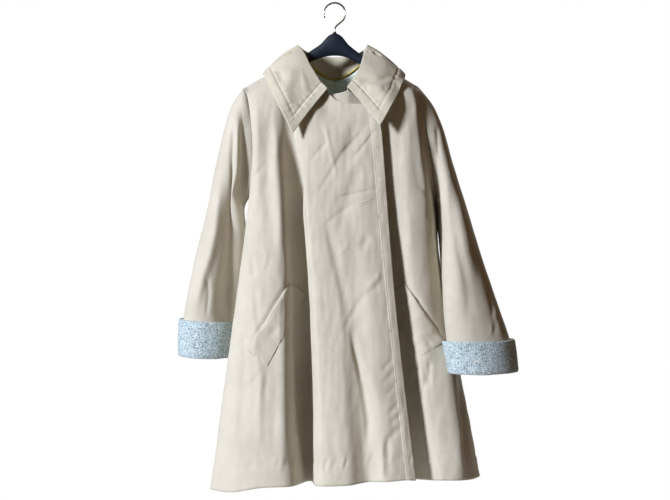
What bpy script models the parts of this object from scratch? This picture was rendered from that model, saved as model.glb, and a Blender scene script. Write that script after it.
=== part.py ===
"""Swing coat with a wide pointed collar and turned-back cuffs, hanging on a hanger.

Metres, +Z up, the coat's front faces -Y, +X is the viewer's right. The origin is the inner top
of the hook, where the rail bears. Tables are in millimetres. Right and left are the wearer's:
the right side is at -X. The right front laps over the left front.
"""
import bpy
import bmesh
import math
import numpy as np
from mathutils import Vector
from mathutils.bvhtree import BVHTree

MM = 0.001

# Driving sizes, millimetres
CLOTH = 3.0             # gabardine, padding and tweed of one panel
SEAM = 0.3              # gap left between pieces that are sewn together
COLLAR_LAY = 3.4        # gap left under the collar where it lies on the body
STAND_CLOTH = 2.5
STAND_LIFT = 2.4        # clear of the panels at the neck seam
BAND_CLOTH = 1.2        # stitched border bands
WELT_CLOTH = 2.0
CUFF_CLOTH = 5.0        # tweed cuff, two layers
PIPING_RADIUS = 1.8
HOOK_RADIUS = 2.0       # steel rod of the hanger's hook
HOOK_LOOP = 24.0        # rod's centre line from the middle of the loop
HOOK_ARC = (-58, 205)    # degrees, from the neck of the hook round to its free end
HUB_TOP = -66.0         # where the hook goes into the hanger
SHOULDER_REACH = 50.0   # a column starting this far before or behind the shoulder isn't rounded there
SHOULDER_ROUND = 0.207  # bulge of a quarter circle beside its chord
CUFF_STAND_OFF = 5.0    # turned-back cuff from the sleeve at its upper edge
CUFF_FOOT = 0.5         # and at its lower edge
ROLL_GAP = 0.4          # between the collar and the top of its stand
COLLAR_OUTWARD = 0.5    # share of the collar's bulge that goes outward
COLLAR_UPWARD = 0.85    # and upward
PIPING_RISE = 2.2       # piping above the neck seam
PIPING_END = 10         # stations of the collar left free of piping at each front
RING = 12               # sides of a section of the hanger

# Rows of a panel between its levels: top, cap, yoke, chest, hip, hem
ROWS = (2, 3, 5, 4, 6)
ARM_ROWS = 10           # rows of a panel that lie along the armhole
SLEEVE_ROWS = (1, 2, 2, 2, 2, 2)

# Armholes: shoulder point, armpit, how far the loop bows in, forward and back
ARMHOLE = {
    "right": dict(top=(-206, 0, -190), pit=(-192, 8, -434), bow=16, front=54, back=58),
    "left": dict(top=(186, 0, -185), pit=(229, 8, -450), bow=-2, front=54, back=58),
}

# The left sleeve presses the body's side in
PRESS = dict(from_x=185, over_x=45, z=-560, reach=62, depth=13)

# Right front, from the side seam to the free edge: top, yoke, chest, hip, hem
RIGHT_FRONT = [
    # line, then its points at the top, yoke, chest, hip and hem
    ("side seam", (-206, 0, -190), (-185, -52, -300), (-192, 8, -434),
     (-201, 12, -685), (-238, 30, -1090)),
    ("edge ridge", (-198, 0, -185.4), (-176, -62, -300), (-188, -48, -437),
     (-220, -52, -685), (-272, -62, -1076)),
    ("flank", (-186, 0, -178.6), (-164, -68, -300), (-174, -70, -437),
     (-198, -90, -685), (-222, -114, -1071)),
    ("side ridge", (-164, 0, -166), (-144, -72, -300), (-144, -84, -437),
     (-155, -112, -685), (-153, -138, -1056)),
    ("ridge shoulder", (-140, 0, -152.4), (-119, -73, -300), (-109, -86, -437),
     (-106, -112, -685), (-95, -135, -1054)),
    ("valley", (-116, 0, -138.7), (-95, -65, -300), (-82, -63, -437),
     (-63, -64, -685), (-53, -68, -1059)),
    ("centre ridge", (-98, 0, -128.4), (-82, -70, -300), (-75, -77, -437),
     (-54, -88, -685), (-41, -106, -1058)),
    ("neck point", (-78, 0, -117), (-66, -77, -300), (-62, -88, -437),
     (-42, -108, -685), (-27, -132, -1054)),
    ("neck turn", (-76.5, -9, -118.5), (-56, -80, -300), (-50, -91, -437),
     (-32, -112, -685), (-16, -137, -1053)),
    ("neck side", (-68, -20, -129), (-44, -82, -300), (-36, -93, -437),
     (-20, -114, -685), (-2, -140, -1052)),
    ("middle", (-40, -46, -174), (-14, -84, -300), (-4, -95, -437), (10, -116, -685), (30, -142, -1050)),
    ("crease", (4, -68, -227), (22, -84, -300), (33, -96, -437), (42, -112, -685), (71, -122, -1047)),
    ("second crown", (44, -75, -236), (52, -85, -300), (65, -97, -437),
     (79, -120, -685), (108, -144, -1042)),
    ("band line", (71, -77, -238), (79, -84, -300), (90, -95, -437),
     (113, -117, -685), (151, -142, -1039)),
    ("free edge", (94, -78, -240), (102, -83, -300), (112, -92, -437),
     (131, -112, -685), (171, -136, -1041)),
]

# Left front, from the side seam to the edge hidden under the lap
LEFT_FRONT = [
    ("side seam", (186, 0, -185), (205, -52, -300), (229, 8, -450), (254, 14, -685), (322, 30, -1070)),
    ("edge ridge", (178, 0, -180.3), (190, -60, -300), (217, -40, -450),
     (253, -24, -685), (323, -22, -1057)),
    ("flank", (166, 0, -173.2), (179, -68, -300), (200, -68, -450), (234, -62, -685), (293, -76, -1049)),
    ("ridge", (143, 0, -159.7), (154, -76, -300), (163, -86, -450),
     (192, -97, -685), (239, -118, -1045)),
    ("slope", (118, 0, -144.9), (128, -72, -300), (137, -80, -450),
     (167, -88, -685), (212, -108, -1047)),
    ("shade", (94, 0, -130.8), (106, -66, -300), (114, -70, -450), (144, -70, -685), (189, -84, -1051)),
    ("neck point", (74, 0, -119), (88, -66, -300), (96, -68, -450), (126, -66, -685), (170, -78, -1051)),
    ("neck turn", (73, -9, -121), (84, -66, -300), (92, -68, -450), (121, -66, -685), (164, -77, -1051)),
    ("neck side", (68, -18, -130), (78, -66, -300), (86, -69, -450),
     (114, -67, -685), (156, -77, -1051)),
    ("under one", (58, -36, -157), (66, -66, -300), (74, -70, -450),
     (102, -68, -685), (142, -76, -1051)),
    ("under two", (30, -61, -203), (30, -68, -300), (31, -74, -450), (51, -72, -685), (81, -82, -1051)),
    ("hidden edge", (-12, -57, -214), (-22, -66, -300), (-26, -70, -450),
     (-18, -70, -685), (-8, -84, -1052)),
]

# Backs, from the side seam to the centre back seam
RIGHT_BACK = [
    ("side seam", (-206, 0, -190), (-185, 56, -300), (-192, 8, -434),
     (-201, 12, -685), (-238, 30, -1090)),
    ("flank", (-172, 0, -170.6), (-165, 63, -300), (-177, 52, -437),
     (-208, 70, -685), (-254, 98, -1082)),
    ("ridge", (-138, 0, -151.2), (-128, 68, -300), (-135, 74, -437),
     (-158, 106, -685), (-196, 138, -1076)),
    ("valley", (-106, 0, -133), (-90, 69, -300), (-92, 68, -437), (-100, 76, -685), (-122, 92, -1074)),
    ("neck point", (-78, 0, -117), (-64, 71, -300), (-66, 72, -437), (-70, 92, -685), (-82, 118, -1074)),
    ("neck turn", (-76.5, 9, -118.5), (-58, 72, -300), (-58, 73, -437),
     (-60, 95, -685), (-70, 122, -1074)),
    ("neck side", (-62, 30, -134), (-48, 73, -300), (-48, 75, -437), (-48, 99, -685), (-54, 128, -1074)),
    ("crown", (-34, 44, -154.5), (-32, 74, -300), (-32, 78, -437), (-30, 106, -685), (-26, 138, -1073)),
    ("centre back", (0, 50, -167), (0, 74, -300), (2, 74, -437), (10, 88, -685), (22, 108, -1072)),
]
LEFT_BACK = [
    ("side seam", (186, 0, -185), (205, 56, -300), (229, 8, -450), (254, 14, -685), (322, 30, -1070)),
    ("flank", (160, 0, -169.7), (176, 63, -300), (208, 54, -450), (248, 70, -685), (318, 98, -1070)),
    ("ridge", (128, 0, -150.8), (138, 68, -300), (160, 76, -450), (190, 106, -685), (244, 136, -1072)),
    ("valley", (100, 0, -134.3), (102, 69, -300), (112, 68, -450), (134, 74, -685), (166, 90, -1072)),
    ("neck point", (74, 0, -119), (72, 71, -300), (80, 74, -450), (98, 94, -685), (124, 120, -1073)),
    ("neck turn", (73, 9, -121), (64, 72, -300), (70, 75, -450), (86, 97, -685), (110, 124, -1073)),
    ("neck side", (60, 30, -136), (54, 73, -300), (58, 76, -450), (72, 100, -685), (94, 128, -1073)),
    ("crown", (34, 44, -155), (36, 74, -300), (40, 78, -450), (52, 104, -685), (70, 134, -1073)),
    ("centre back", (0, 50, -167), (0, 74, -300), (2, 74, -437), (10, 88, -685), (22, 108, -1072)),
]

# Sleeves: outer edge, underarm edge, depth in front of and behind the middle
RIGHT_SLEEVE = [
    # ring          outer edge            underarm              front back
    ("armhole",     (-206, 0, -190),      (-192, 8, -434),      54, 58),
    ("cap",         (-233, 0, -234),      (-204, 8, -458),      56, 58),
    ("biceps",      (-265, 2, -358),      (-203, 10, -531),     57, 54),
    ("elbow",       (-291, 2, -478),      (-208, 10, -606),     56, 52),
    ("forearm",     (-320, 0, -599),      (-214, 10, -666),     54, 50),
    ("cuff top",    (-340, -2, -708),     (-221, 8, -716),      52, 48),
    ("end",         (-346, -4, -787),     (-232, 6, -790),      53, 49),
]
LEFT_SLEEVE = [
    ("armhole",     (186, 0, -185),       (229, 8, -450),       54, 58),
    ("cap",         (224, 0, -236),       (230, 6, -476),       56, 57),
    ("biceps",      (268, -10, -374),     (233, -28, -556),     58, 52),
    ("elbow",       (305, -32, -503),     (234, -68, -624),     54, 46),
    ("forearm",     (344, -56, -638),     (235, -90, -690),     52, 43),
    ("cuff top",    (380, -76, -748),     (241, -96, -748),     50, 42),
    ("end",         (392, -80, -812),     (249, -98, -816),     52, 44),
]

# Collar, from the right front corner round the back to the left: seam to the neck, roll, outer edge
COLLAR = [
    # station       neck seam            roll                 outer edge            bulge
    ("right edge",  (-15, -62, -211),    (-15, -68, -203),    (-92, -93, -305),     2),
    ("right band",  (-36, -51, -188),    (-33, -58, -182),    (-99, -92, -289),     4),
    ("right wing",  (-56, -35, -154),    (-53, -42, -147),    (-125, -82, -236),    8),
    ("right turn",  (-70, -18, -127.5),   (-71, -18, -110),    (-147, -46, -188),    8),
    ("right side",  (-78, 0, -117),      (-82, 0, -95),       (-158, 0, -158),     5),
    ("right back",  (-62, 30, -134),     (-63, 36, -102),     (-134, 56, -190),     6),
    ("back one",    (-34, 45, -154),     (-34, 50, -108),     (-72, 76, -206),      6),
    ("back",        (0, 50.5, -166),     (0, 56, -110),       (0, 84, -212),        6),
    ("back two",    (34, 45, -154),      (34, 50, -108),      (72, 76, -206),       6),
    ("left back",   (60, 30, -136),      (60, 36, -102),      (132, 56, -192),      6),
    ("left side",   (74, 0, -119),       (72, 0, -94),        (156, 0, -161),      5),
    ("left turn",   (68.5, -17, -129.5),  (64, -18, -118),     (146, -50, -198),     8),
    ("left wing",   (57, -36, -157),     (56, -41, -149),     (126, -90, -238),     8),
    ("left band",   (42, -52, -188),     (42, -58, -178),     (110, -100, -268),    4),
    ("left edge",   (28, -63, -208),     (27, -68, -199),     (98, -103, -289),     2),
]
COLLAR_DROP = 5         # rows from the roll to the outer edge

# Pocket welts, seen from the front: x and z of the four corners, opening edge first
WELTS = {
    "right": [(-99, -626), (-187, -768), (-144, -802), (-63, -652)],
    "left": [(153, -626), (236, -752), (186, -784), (103, -658)],
}
BUTTONHOLE = [(50, -449), (87, -435), (87, -449), (50, -462)]

# Hanger, seen from the front: x, top, bottom, half its depth
HANGER = [
    ("right end",   -194, -191, -203, 5),
    ("right tip",   -184, -184, -203, 7.5),
    ("right arm",   -130, -152.5, -174, 7.5),
    ("right neck",  -78, -123.5, -146, 5.5),
    ("right rise",  -54, -106, -131, 5.5),
    ("right hub",   -32, -91, -122, 6),
    ("hub side",    -14, -72, -118, 6.5),
    ("hub",         0, HUB_TOP, -117, 7),
    ("hub edge",    14, -72, -118, 6.5),
    ("left hub",    32, -93, -123, 6),
    ("left rise",   52, -109, -133, 5.5),
    ("left neck",   74, -125.5, -148, 5.5),
    ("left arm",    120, -152, -173, 7.5),
    ("left tip",    164, -178.5, -198, 7.5),
    ("left end",    174, -185, -198, 5),
]


def start_clean():
    for thing in list(bpy.data.objects):
        bpy.data.objects.remove(thing)


def material(name, colour, roughness, metallic=0.0):
    made = bpy.data.materials.new(name)
    made.use_nodes = True
    shader = made.node_tree.nodes["Principled BSDF"]
    shader.inputs["Base Color"].default_value = (*colour, 1)
    shader.inputs["Roughness"].default_value = roughness
    shader.inputs["Metallic"].default_value = metallic
    return made


def spline(points, counts):
    """Smooth curve through the points, with so many steps between neighbours."""
    p = np.asarray(points, float)
    h = np.sqrt(np.linalg.norm(np.diff(p, axis=0), axis=1)) + 1e-6
    step = np.diff(p, axis=0) / h[:, None]
    tangent = np.vstack([step[:1], step, step[-1:]])
    for i in range(1, len(p) - 1):
        tangent[i] = (step[i - 1] * h[i] + step[i] * h[i - 1]) / (h[i - 1] + h[i])
    tangent[len(p) - 1] = step[-1]
    out = []
    for i, count in enumerate(counts):
        for t in np.arange(count) / count:
            start = (2 * t**3 - 3 * t**2 + 1) * p[i] + (t**3 - 2 * t**2 + t) * h[i] * tangent[i]
            end = (3 * t**2 - 2 * t**3) * p[i + 1] + (t**3 - t**2) * h[i] * tangent[i + 1]
            out.append(start + end)
    out.append(p[-1])
    return np.array(out)


def unit(v):
    v = np.asarray(v, float)
    return v / np.maximum(np.linalg.norm(v, axis=-1, keepdims=True), 1e-9)


def normals(grid, towards, wrap=False):
    """Surface normals of a grid of points, turned to agree with one direction at each point."""
    if wrap:
        along_u = np.roll(grid, -1, 0) - np.roll(grid, 1, 0)
    else:
        along_u = np.gradient(grid, axis=0)
    n = unit(np.cross(along_u, np.gradient(grid, axis=1)))
    sign = np.sign(np.sum(n * towards, axis=-1))
    if np.mean(sign) < 0:
        n = -n
    return n


def shell_mesh(outer, inner, wrap=False):
    """Closed mesh between an outer and an inner grid of points."""
    nu, nv = outer.shape[:2]
    bm = bmesh.new()
    sheets = [[[bm.verts.new(Vector(p) * MM) for p in line] for line in sheet] for sheet in (outer, inner)]
    spans = range(nu if wrap else nu - 1)
    for i in spans:
        k = (i + 1) % nu
        for j in range(nv - 1):
            for sheet in sheets:
                bm.faces.new((sheet[i][j], sheet[k][j], sheet[k][j + 1], sheet[i][j + 1]))
        for j in (0, nv - 1):
            bm.faces.new((sheets[0][i][j], sheets[1][i][j], sheets[1][k][j], sheets[0][k][j]))
    if not wrap:
        for i in (0, nu - 1):
            for j in range(nv - 1):
                bm.faces.new((sheets[0][i][j], sheets[0][i][j + 1], sheets[1][i][j + 1], sheets[1][i][j]))
    return bm


def shell(name, outer, inner, paint, wrap=False):
    """One closed solid between an outer and an inner grid of points."""
    bm = shell_mesh(outer, inner, wrap)
    bmesh.ops.recalc_face_normals(bm, faces=bm.faces)
    bmesh.ops.triangulate(bm, faces=bm.faces)
    place(name, bm, paint)


def place(name, bm, paint):
    mesh = bpy.data.meshes.new(name)
    bm.to_mesh(mesh)
    bm.free()
    made = bpy.data.objects.new(name, mesh)
    mesh.materials.append(paint)
    coat.objects.link(made)


def armhole(side, face, count=ARM_ROWS):
    """Half the armhole loop, from the shoulder point to the armpit, over the front or the back."""
    a = ARMHOLE[side]
    t = np.arange(count + 1) / count * math.pi
    top, pit = np.array(a["top"], float), np.array(a["pit"], float)
    line = top + (pit - top) * ((1 - np.cos(t)) / 2)[:, None]
    line[:, 0] += a["bow"] * np.sin(t)
    line[:, 1] += np.sin(t) * (-a["front"] if face == "front" else a["back"])
    return line


def column_steps(table):
    """Steps between a table's columns: the two beside the neck point lie close together."""
    return [1 if row[0] in ("neck turn", "neck side") else 2 for row in table[1:]]


def panel_points(table, side, face):
    """Grid of a panel's outer points: columns across from the side seam, rows from top to hem."""
    columns = []
    for name, top, yoke, chest, hip, hem in table:
        top, yoke = np.array(top, float), np.array(yoke, float)
        # a column that starts on the shoulder seam leaves it level, as over a shoulder
        level = max(0.0, 1 - abs(top[1]) / SHOULDER_REACH)
        cap = top + (yoke - top) * 0.5
        cap[1:] += (yoke - top)[1:] * np.array([SHOULDER_ROUND, -SHOULDER_ROUND]) * level
        columns.append(spline([top, cap, yoke, chest, hip, hem], ROWS))
    columns[0][:ARM_ROWS + 1] = armhole(side, face)
    lower = spline([columns[0][ARM_ROWS], table[0][4], table[0][5]], ROWS[3:])
    columns[0][ARM_ROWS:] = lower
    steps = column_steps(table)
    grid = np.array([spline([c[r] for c in columns], steps) for r in range(sum(ROWS) + 1)])
    grid = np.transpose(grid, (1, 0, 2))
    if side == "left":
        near_side = np.clip((grid[:, :, 0] - PRESS["from_x"]) / PRESS["over_x"], 0, 1)
        beside_sleeve = np.exp(-((grid[:, :, 2] - PRESS["z"]) / PRESS["reach"])**2)
        grid[:, :, 0] -= PRESS["depth"] * near_side * beside_sleeve
    return grid


def panel_inner(grid, side, face, seam_columns):
    """Inner points of a panel. Along a seam they are set by a direction both pieces share."""
    out = -1 if side == "right" else 1
    n = normals(grid, np.array([0, -1 if face == "front" else 1, 0.2]))
    loop = armhole(side, face)
    middle = (loop[0] + loop[-1]) / 2
    radial = unit((loop - middle) * np.array([0, 1, 1]))
    lean = (np.arange(ARM_ROWS + 1) / ARM_ROWS) ** 2
    n[0, :ARM_ROWS + 1] = unit(radial + np.outer(lean, [out, 0, 0]))
    n[0, ARM_ROWS + 1:] = (out, 0, 0)
    slope = unit(grid[seam_columns, 0] - grid[0, 0])
    across = unit(np.cross(slope, [0, 1, 0]))
    n[:seam_columns + 1, 0] = across if across[2] > 0 else -across
    if face == "back":
        n[-1] = unit(n[-1] * np.array([0, 1, 1]))
    return grid - n * CLOTH


def open_seams(grid, inner, side, face, seam_columns):
    """Move the sewn edges half a seam's gap back into their own panel."""
    out = -1 if side == "right" else 1
    back = -1 if face == "front" else 1
    for sheet in (grid, inner):
        sheet[0, :ARM_ROWS + 1, 0] -= out * SEAM / 2
        sheet[0, ARM_ROWS:, 1] += back * SEAM / 2
        sheet[:seam_columns + 1, 0, 1] += back * SEAM / 2
        if face == "back":
            sheet[-1, :, 0] += out * SEAM / 2


def panel(name, table, side, face, paint):
    seam_columns = sum(column_steps(table)[:[row[0] for row in table].index("neck point")])
    grid = panel_points(table, side, face)
    shoulder = grid[:seam_columns + 1, 0]
    part_way = (shoulder[:, 0] - shoulder[0, 0]) / (shoulder[-1, 0] - shoulder[0, 0])
    grid[:seam_columns + 1, 0] = shoulder[0] + np.outer(part_way, shoulder[-1] - shoulder[0])
    inner = panel_inner(grid, side, face, seam_columns)
    open_seams(grid, inner, side, face, seam_columns)
    shell(name, grid, inner, paint)
    return grid


def tube_points(table, side, counts):
    """Grid of a sleeve's outer points: round from the top over the front, rows from armhole to end."""
    outer = spline([row[1] for row in table], counts)
    under = spline([row[2] for row in table], counts)
    depth = spline([(row[3], row[4], 0) for row in table], counts)
    count = 2 * ARM_ROWS
    angle = np.arange(count) / count * 2 * math.pi
    grid = np.zeros((count, len(outer), 3))
    for k in range(len(outer)):
        middle, half = (outer[k] + under[k]) / 2, (outer[k] - under[k]) / 2
        for i, a in enumerate(angle):
            grid[i, k] = middle + half * math.cos(a)
            grid[i, k, 1] -= math.sin(a) * (depth[k, 0] if math.sin(a) > 0 else depth[k, 1])
    grid[:ARM_ROWS + 1, 0] = armhole(side, "front")
    grid[ARM_ROWS:, 0] = armhole(side, "back")[:0:-1]
    return grid


def sleeve(name, table, side, paint, cuff_paint):
    out = -1 if side == "right" else 1
    grid = tube_points(table, side, SLEEVE_ROWS)
    axis = grid.mean(axis=0)
    n = normals(grid, grid - axis, wrap=True)
    loop = grid[:, 0]
    radial = unit((loop - (loop[0] + loop[ARM_ROWS]) / 2) * np.array([0, 1, 1]))
    turn = 1 - np.abs(np.arange(2 * ARM_ROWS) - ARM_ROWS) / ARM_ROWS
    n[:, 0] = unit(radial - np.outer(turn**2, [out, 0, 0]))
    inner = grid - n * CLOTH
    for sheet in (grid, inner):
        sheet[:, 0, 0] += out * SEAM / 2
    shell(name, grid, inner, paint, wrap=True)
    # the turned-back cuff stands off the sleeve more at its upper edge
    low = len(axis) - SLEEVE_ROWS[-1] - 1
    stand_off = np.linspace(CUFF_STAND_OFF, CUFF_FOOT, SLEEVE_ROWS[-1] + 1)[None, :, None]
    inside = grid[:, low:] + n[:, low:] * stand_off
    outside = inside + n[:, low:] * CUFF_CLOTH
    shell("cuff_" + side, outside, inside, cuff_paint, wrap=True)


def skin(fronts, backs=()):
    """One search tree of the outer faces of several panels, each turned outward."""
    points, faces = [], []
    for facing_way, grids in ((-1, fronts), (1, backs)):
        for grid in grids:
            nu, nv = grid.shape[:2]
            across = np.cross(grid[-1, nv // 2] - grid[0, nv // 2], grid[0, -1] - grid[0, nv // 2])
            turned = across[1] * facing_way > 0
            base = len(points)
            points += [Vector(p) for p in grid.reshape(-1, 3)]
            for i in range(nu - 1):
                for j in range(nv - 1):
                    a, b = base + i * nv + j, base + (i + 1) * nv + j
                    corners = (a, b, b + 1, a + 1) if turned else (a, a + 1, b + 1, b)
                    faces += [(corners[0], corners[1], corners[2]), (corners[0], corners[2], corners[3])]
    return BVHTree.FromPolygons(points, faces)


def collar_points(tree):
    """Grid of the collar's under side: along the neck, rows from the roll to the outer edge."""
    count = [2] * (len(COLLAR) - 1)
    roll = spline([row[2] for row in COLLAR], count)
    edge = spline([row[3] for row in COLLAR], count)
    bulge = spline([(row[4], 0, 0) for row in COLLAR], count)[:, 0]
    t = np.arange(COLLAR_DROP + 1) / COLLAR_DROP
    grid = roll[:, None] * (1 - t)[None, :, None] + edge[:, None] * t[None, :, None]
    away = unit((roll - np.array([0, 0, roll[:, 2].mean()])) * np.array([1, 1, 0]))
    lift = np.sin(np.pi * t)[None, :, None] * bulge[:, None, None]
    grid = grid + lift * (away * COLLAR_OUTWARD + np.array([0, 0, COLLAR_UPWARD]))[:, None]
    for i in range(grid.shape[0]):
        for j in range(1, grid.shape[1]):
            near, outward, face, distance = tree.find_nearest(Vector(grid[i, j]))
            height = (Vector(grid[i, j]) - near).dot(outward)
            if height < COLLAR_LAY:
                grid[i, j] = near + outward * COLLAR_LAY
    return grid


def lying(name, corners, grid, thick, paint):
    """A flat piece on a panel: the panel's points moved out, cut to the x and z of its corners."""
    n = normals(grid, np.array([0, -1, 0]))
    bm = shell_mesh(grid + n * (SEAM + thick), grid + n * SEAM)
    bmesh.ops.recalc_face_normals(bm, faces=bm.faces)
    bmesh.ops.triangulate(bm, faces=bm.faces)
    points = [Vector((x, 0, z)) * MM for x, z in corners]
    middle = sum(points, Vector()) / len(points)
    for a, b in zip(points, points[1:] + points[:1]):
        away = (b - a).cross(Vector((0, 1, 0))).normalized()
        if away.dot(middle - a) > 0:
            away.negate()
        everything = bm.verts[:] + bm.edges[:] + bm.faces[:]
        cut = bmesh.ops.bisect_plane(bm, geom=everything, plane_co=a, plane_no=away, clear_outer=True)
        rim = [e for e in cut["geom_cut"] if isinstance(e, bmesh.types.BMEdge)]
        bmesh.ops.holes_fill(bm, edges=rim)
    bmesh.ops.triangulate(bm, faces=bm.faces)
    bmesh.ops.recalc_face_normals(bm, faces=bm.faces)
    place(name, bm, paint)


def rod(name, path, radius, paint):
    """A round bar along a path, closed at both ends."""
    curve = bpy.data.curves.new(name, "CURVE")
    curve.dimensions = "3D"
    curve.bevel_depth = radius * MM
    curve.bevel_resolution = 1
    curve.use_fill_caps = True
    line = curve.splines.new("POLY")
    line.points.add(len(path) - 1)
    for point, p in zip(line.points, path):
        point.co = (*(np.asarray(p) * MM), 1)
    guide = bpy.data.objects.new(name + "_path", curve)
    coat.objects.link(guide)
    mesh = bpy.data.meshes.new_from_object(guide.evaluated_get(bpy.context.evaluated_depsgraph_get()))
    bpy.data.objects.remove(guide)
    bm = bmesh.new()
    bm.from_mesh(mesh)
    bmesh.ops.remove_doubles(bm, verts=bm.verts, dist=1e-6)
    bmesh.ops.recalc_face_normals(bm, faces=bm.faces)
    place(name, bm, paint)


def hanger_body(paint):
    """Loft of rounded sections from one arm's end to the other."""
    middles = spline([(row[1], (row[2] + row[3]) / 2, 0) for row in HANGER], [2] * (len(HANGER) - 1))
    sizes = spline([((row[2] - row[3]) / 2, row[4], 0) for row in HANGER], [2] * (len(HANGER) - 1))
    angle = np.arange(RING) / RING * 2 * math.pi
    bm = bmesh.new()
    rings = []
    for (x, z, _), (half_height, half_depth, _) in zip(middles, sizes):
        ring = []
        for a in angle:
            c, s = math.cos(a), math.sin(a)
            ring.append(bm.verts.new(Vector((x, half_depth * c, z + half_height * s)) * MM))
        rings.append(ring)
    for one, two in zip(rings, rings[1:]):
        for i in range(RING):
            k = (i + 1) % RING
            bm.faces.new((one[i], one[k], two[k], two[i]))
    bm.faces.new(rings[0])
    bm.faces.new(rings[-1])
    bmesh.ops.recalc_face_normals(bm, faces=bm.faces)
    bmesh.ops.triangulate(bm, faces=bm.faces)
    place("hanger_body", bm, paint)


start_clean()
coat = bpy.data.collections.new("coat_on_a_hanger")
bpy.context.scene.collection.children.link(coat)

gabardine = material("gabardine", (0.60, 0.50, 0.40), 0.85)
facing = material("collar_gabardine", (0.58, 0.48, 0.38), 0.85)
tweed = material("tweed", (0.62, 0.68, 0.70), 0.95)
yellow = material("piping", (0.70, 0.55, 0.06), 0.8)
plastic = material("hanger_plastic", (0.02, 0.025, 0.04), 0.4)
steel = material("hook_steel", (0.6, 0.6, 0.6), 0.3, 1.0)

# Panels of the body
right_front = panel("front_right", RIGHT_FRONT, "right", "front", gabardine)
left_front = panel("front_left", LEFT_FRONT, "left", "front", gabardine)
right_back = panel("back_right", RIGHT_BACK, "right", "back", gabardine)
left_back = panel("back_left", LEFT_BACK, "left", "back", gabardine)

# Stitched band along the free edge of the right front
edge_columns = right_front[-3:]
edge_normals = normals(right_front, np.array([0, -1, 0]))[-3:]
band_under = edge_columns + edge_normals * SEAM
band_over = band_under + edge_normals * BAND_CLOTH
shell("front_edge_band", band_over, band_under, gabardine)

# Sleeves with their cuffs
sleeve("sleeve_right", RIGHT_SLEEVE, "right", gabardine, tweed)
sleeve("sleeve_left", LEFT_SLEEVE, "left", gabardine, tweed)

# Collar: from the roll down to its outer edge
body_skin = skin([right_front, left_front, band_over], [right_back, left_back])
collar_under = collar_points(body_skin)
collar_normals = normals(collar_under, np.array([0, 0, 1.0]))
collar_over = collar_under + collar_normals * CLOTH
shell("collar", collar_over, collar_under, facing)

# Collar stand: from the neck seam up to just under the roll
stations = [2] * (len(COLLAR) - 1)
neck_seam = spline([row[1] for row in COLLAR], stations) + np.array([0, 0, STAND_LIFT])
stand_top = collar_under[:, 0] - collar_normals[:, 0] * ROLL_GAP
away = unit(neck_seam * np.array([1, 1, 0]))
top_away = unit(collar_under[:, 1] - collar_under[:, 0])
rise = (np.arange(4) / 3)[None, :, None]
stand_in = neck_seam[:, None] * (1 - rise) + stand_top[:, None] * rise
stand_out = stand_in + (away[:, None] * (1 - rise) + top_away[:, None] * rise) * STAND_CLOTH
shell("collar_stand", stand_in, stand_out, facing)

# Stitched border band on the collar's front and outer edges
band_normals = normals(collar_over, np.array([0, 0, 1.0]))
outer_in = collar_over[:, -2:] + band_normals[:, -2:] * SEAM
outer_out = outer_in + band_normals[:, -2:] * BAND_CLOTH
shell("collar_band", outer_out, outer_in, facing)
for side, columns in (("right", slice(0, 3)), ("left", slice(-3, None))):
    strip = collar_over[columns, :-1] + band_normals[columns, :-1] * SEAM
    strip[:, -1] += unit(strip[:, -2] - strip[:, -1]) * SEAM
    shell("collar_end_band_" + side, strip + band_normals[columns, :-1] * BAND_CLOTH, strip, facing)

# Welts and buttonhole
lying("pocket_welt_right", WELTS["right"], right_front, WELT_CLOTH, gabardine)
lying("pocket_welt_left", WELTS["left"], left_front, WELT_CLOTH, gabardine)
lying("buttonhole_welt", BUTTONHOLE, right_front, BAND_CLOTH, gabardine)

# Yellow piping inside the back of the neck
piping_path = (neck_seam - away * (PIPING_RADIUS + SEAM))[PIPING_END:-PIPING_END]
piping_path += np.array([0, 0, PIPING_RISE])
rod("neck_piping", piping_path, PIPING_RADIUS, yellow)

# Hanger
hanger_body(plastic)
turn = np.radians(np.linspace(*HOOK_ARC, 22))
loop_height = HOOK_RADIUS - HOOK_LOOP
loop_path = [(HOOK_LOOP * math.cos(a), 0, loop_height + HOOK_LOOP * math.sin(a)) for a in turn]
hook_path = [(0, 0, HUB_TOP + SEAM), (0, 0, HUB_TOP + 8), (3, 0, HUB_TOP + 15)] + loop_path
rod("hanger_hook", hook_path, HOOK_RADIUS, steel)
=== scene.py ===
import math

import bmesh
import bpy
import numpy as np
from mathutils import Matrix, Vector, noise
from mathutils.bvhtree import BVHTree
from mathutils.kdtree import KDTree


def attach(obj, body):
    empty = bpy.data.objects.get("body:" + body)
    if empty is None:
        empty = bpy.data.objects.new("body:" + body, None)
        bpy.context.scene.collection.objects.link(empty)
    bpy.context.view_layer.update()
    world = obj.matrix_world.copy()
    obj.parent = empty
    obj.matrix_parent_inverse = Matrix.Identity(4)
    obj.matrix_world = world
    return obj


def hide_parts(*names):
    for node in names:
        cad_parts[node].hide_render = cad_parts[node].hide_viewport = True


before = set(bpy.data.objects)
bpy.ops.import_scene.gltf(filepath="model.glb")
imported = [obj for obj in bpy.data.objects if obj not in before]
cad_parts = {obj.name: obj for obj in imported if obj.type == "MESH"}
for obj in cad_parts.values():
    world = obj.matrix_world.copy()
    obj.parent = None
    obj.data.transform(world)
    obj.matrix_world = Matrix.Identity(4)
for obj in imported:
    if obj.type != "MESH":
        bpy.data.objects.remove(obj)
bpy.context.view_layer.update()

# Studio. The coat hangs in front of white, lit by a cool window on the left, with weak light from
# high in front and from the warm room on the right, and a soft light behind it. The camera stands
# level with the middle of the coat, 2.2 m in front of it. The round floor is under the coat.
MM = 0.001
CAMERA_DISTANCE = 2.2
CAMERA_HEIGHT = -0.554
PIXEL_MM = 2.25             # a photograph's pixel in the plane of the hanger
FRAME_PIXELS = 670
FLOOR_HEIGHT = -1.33
FLOOR_RADIUS = 0.78

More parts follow.
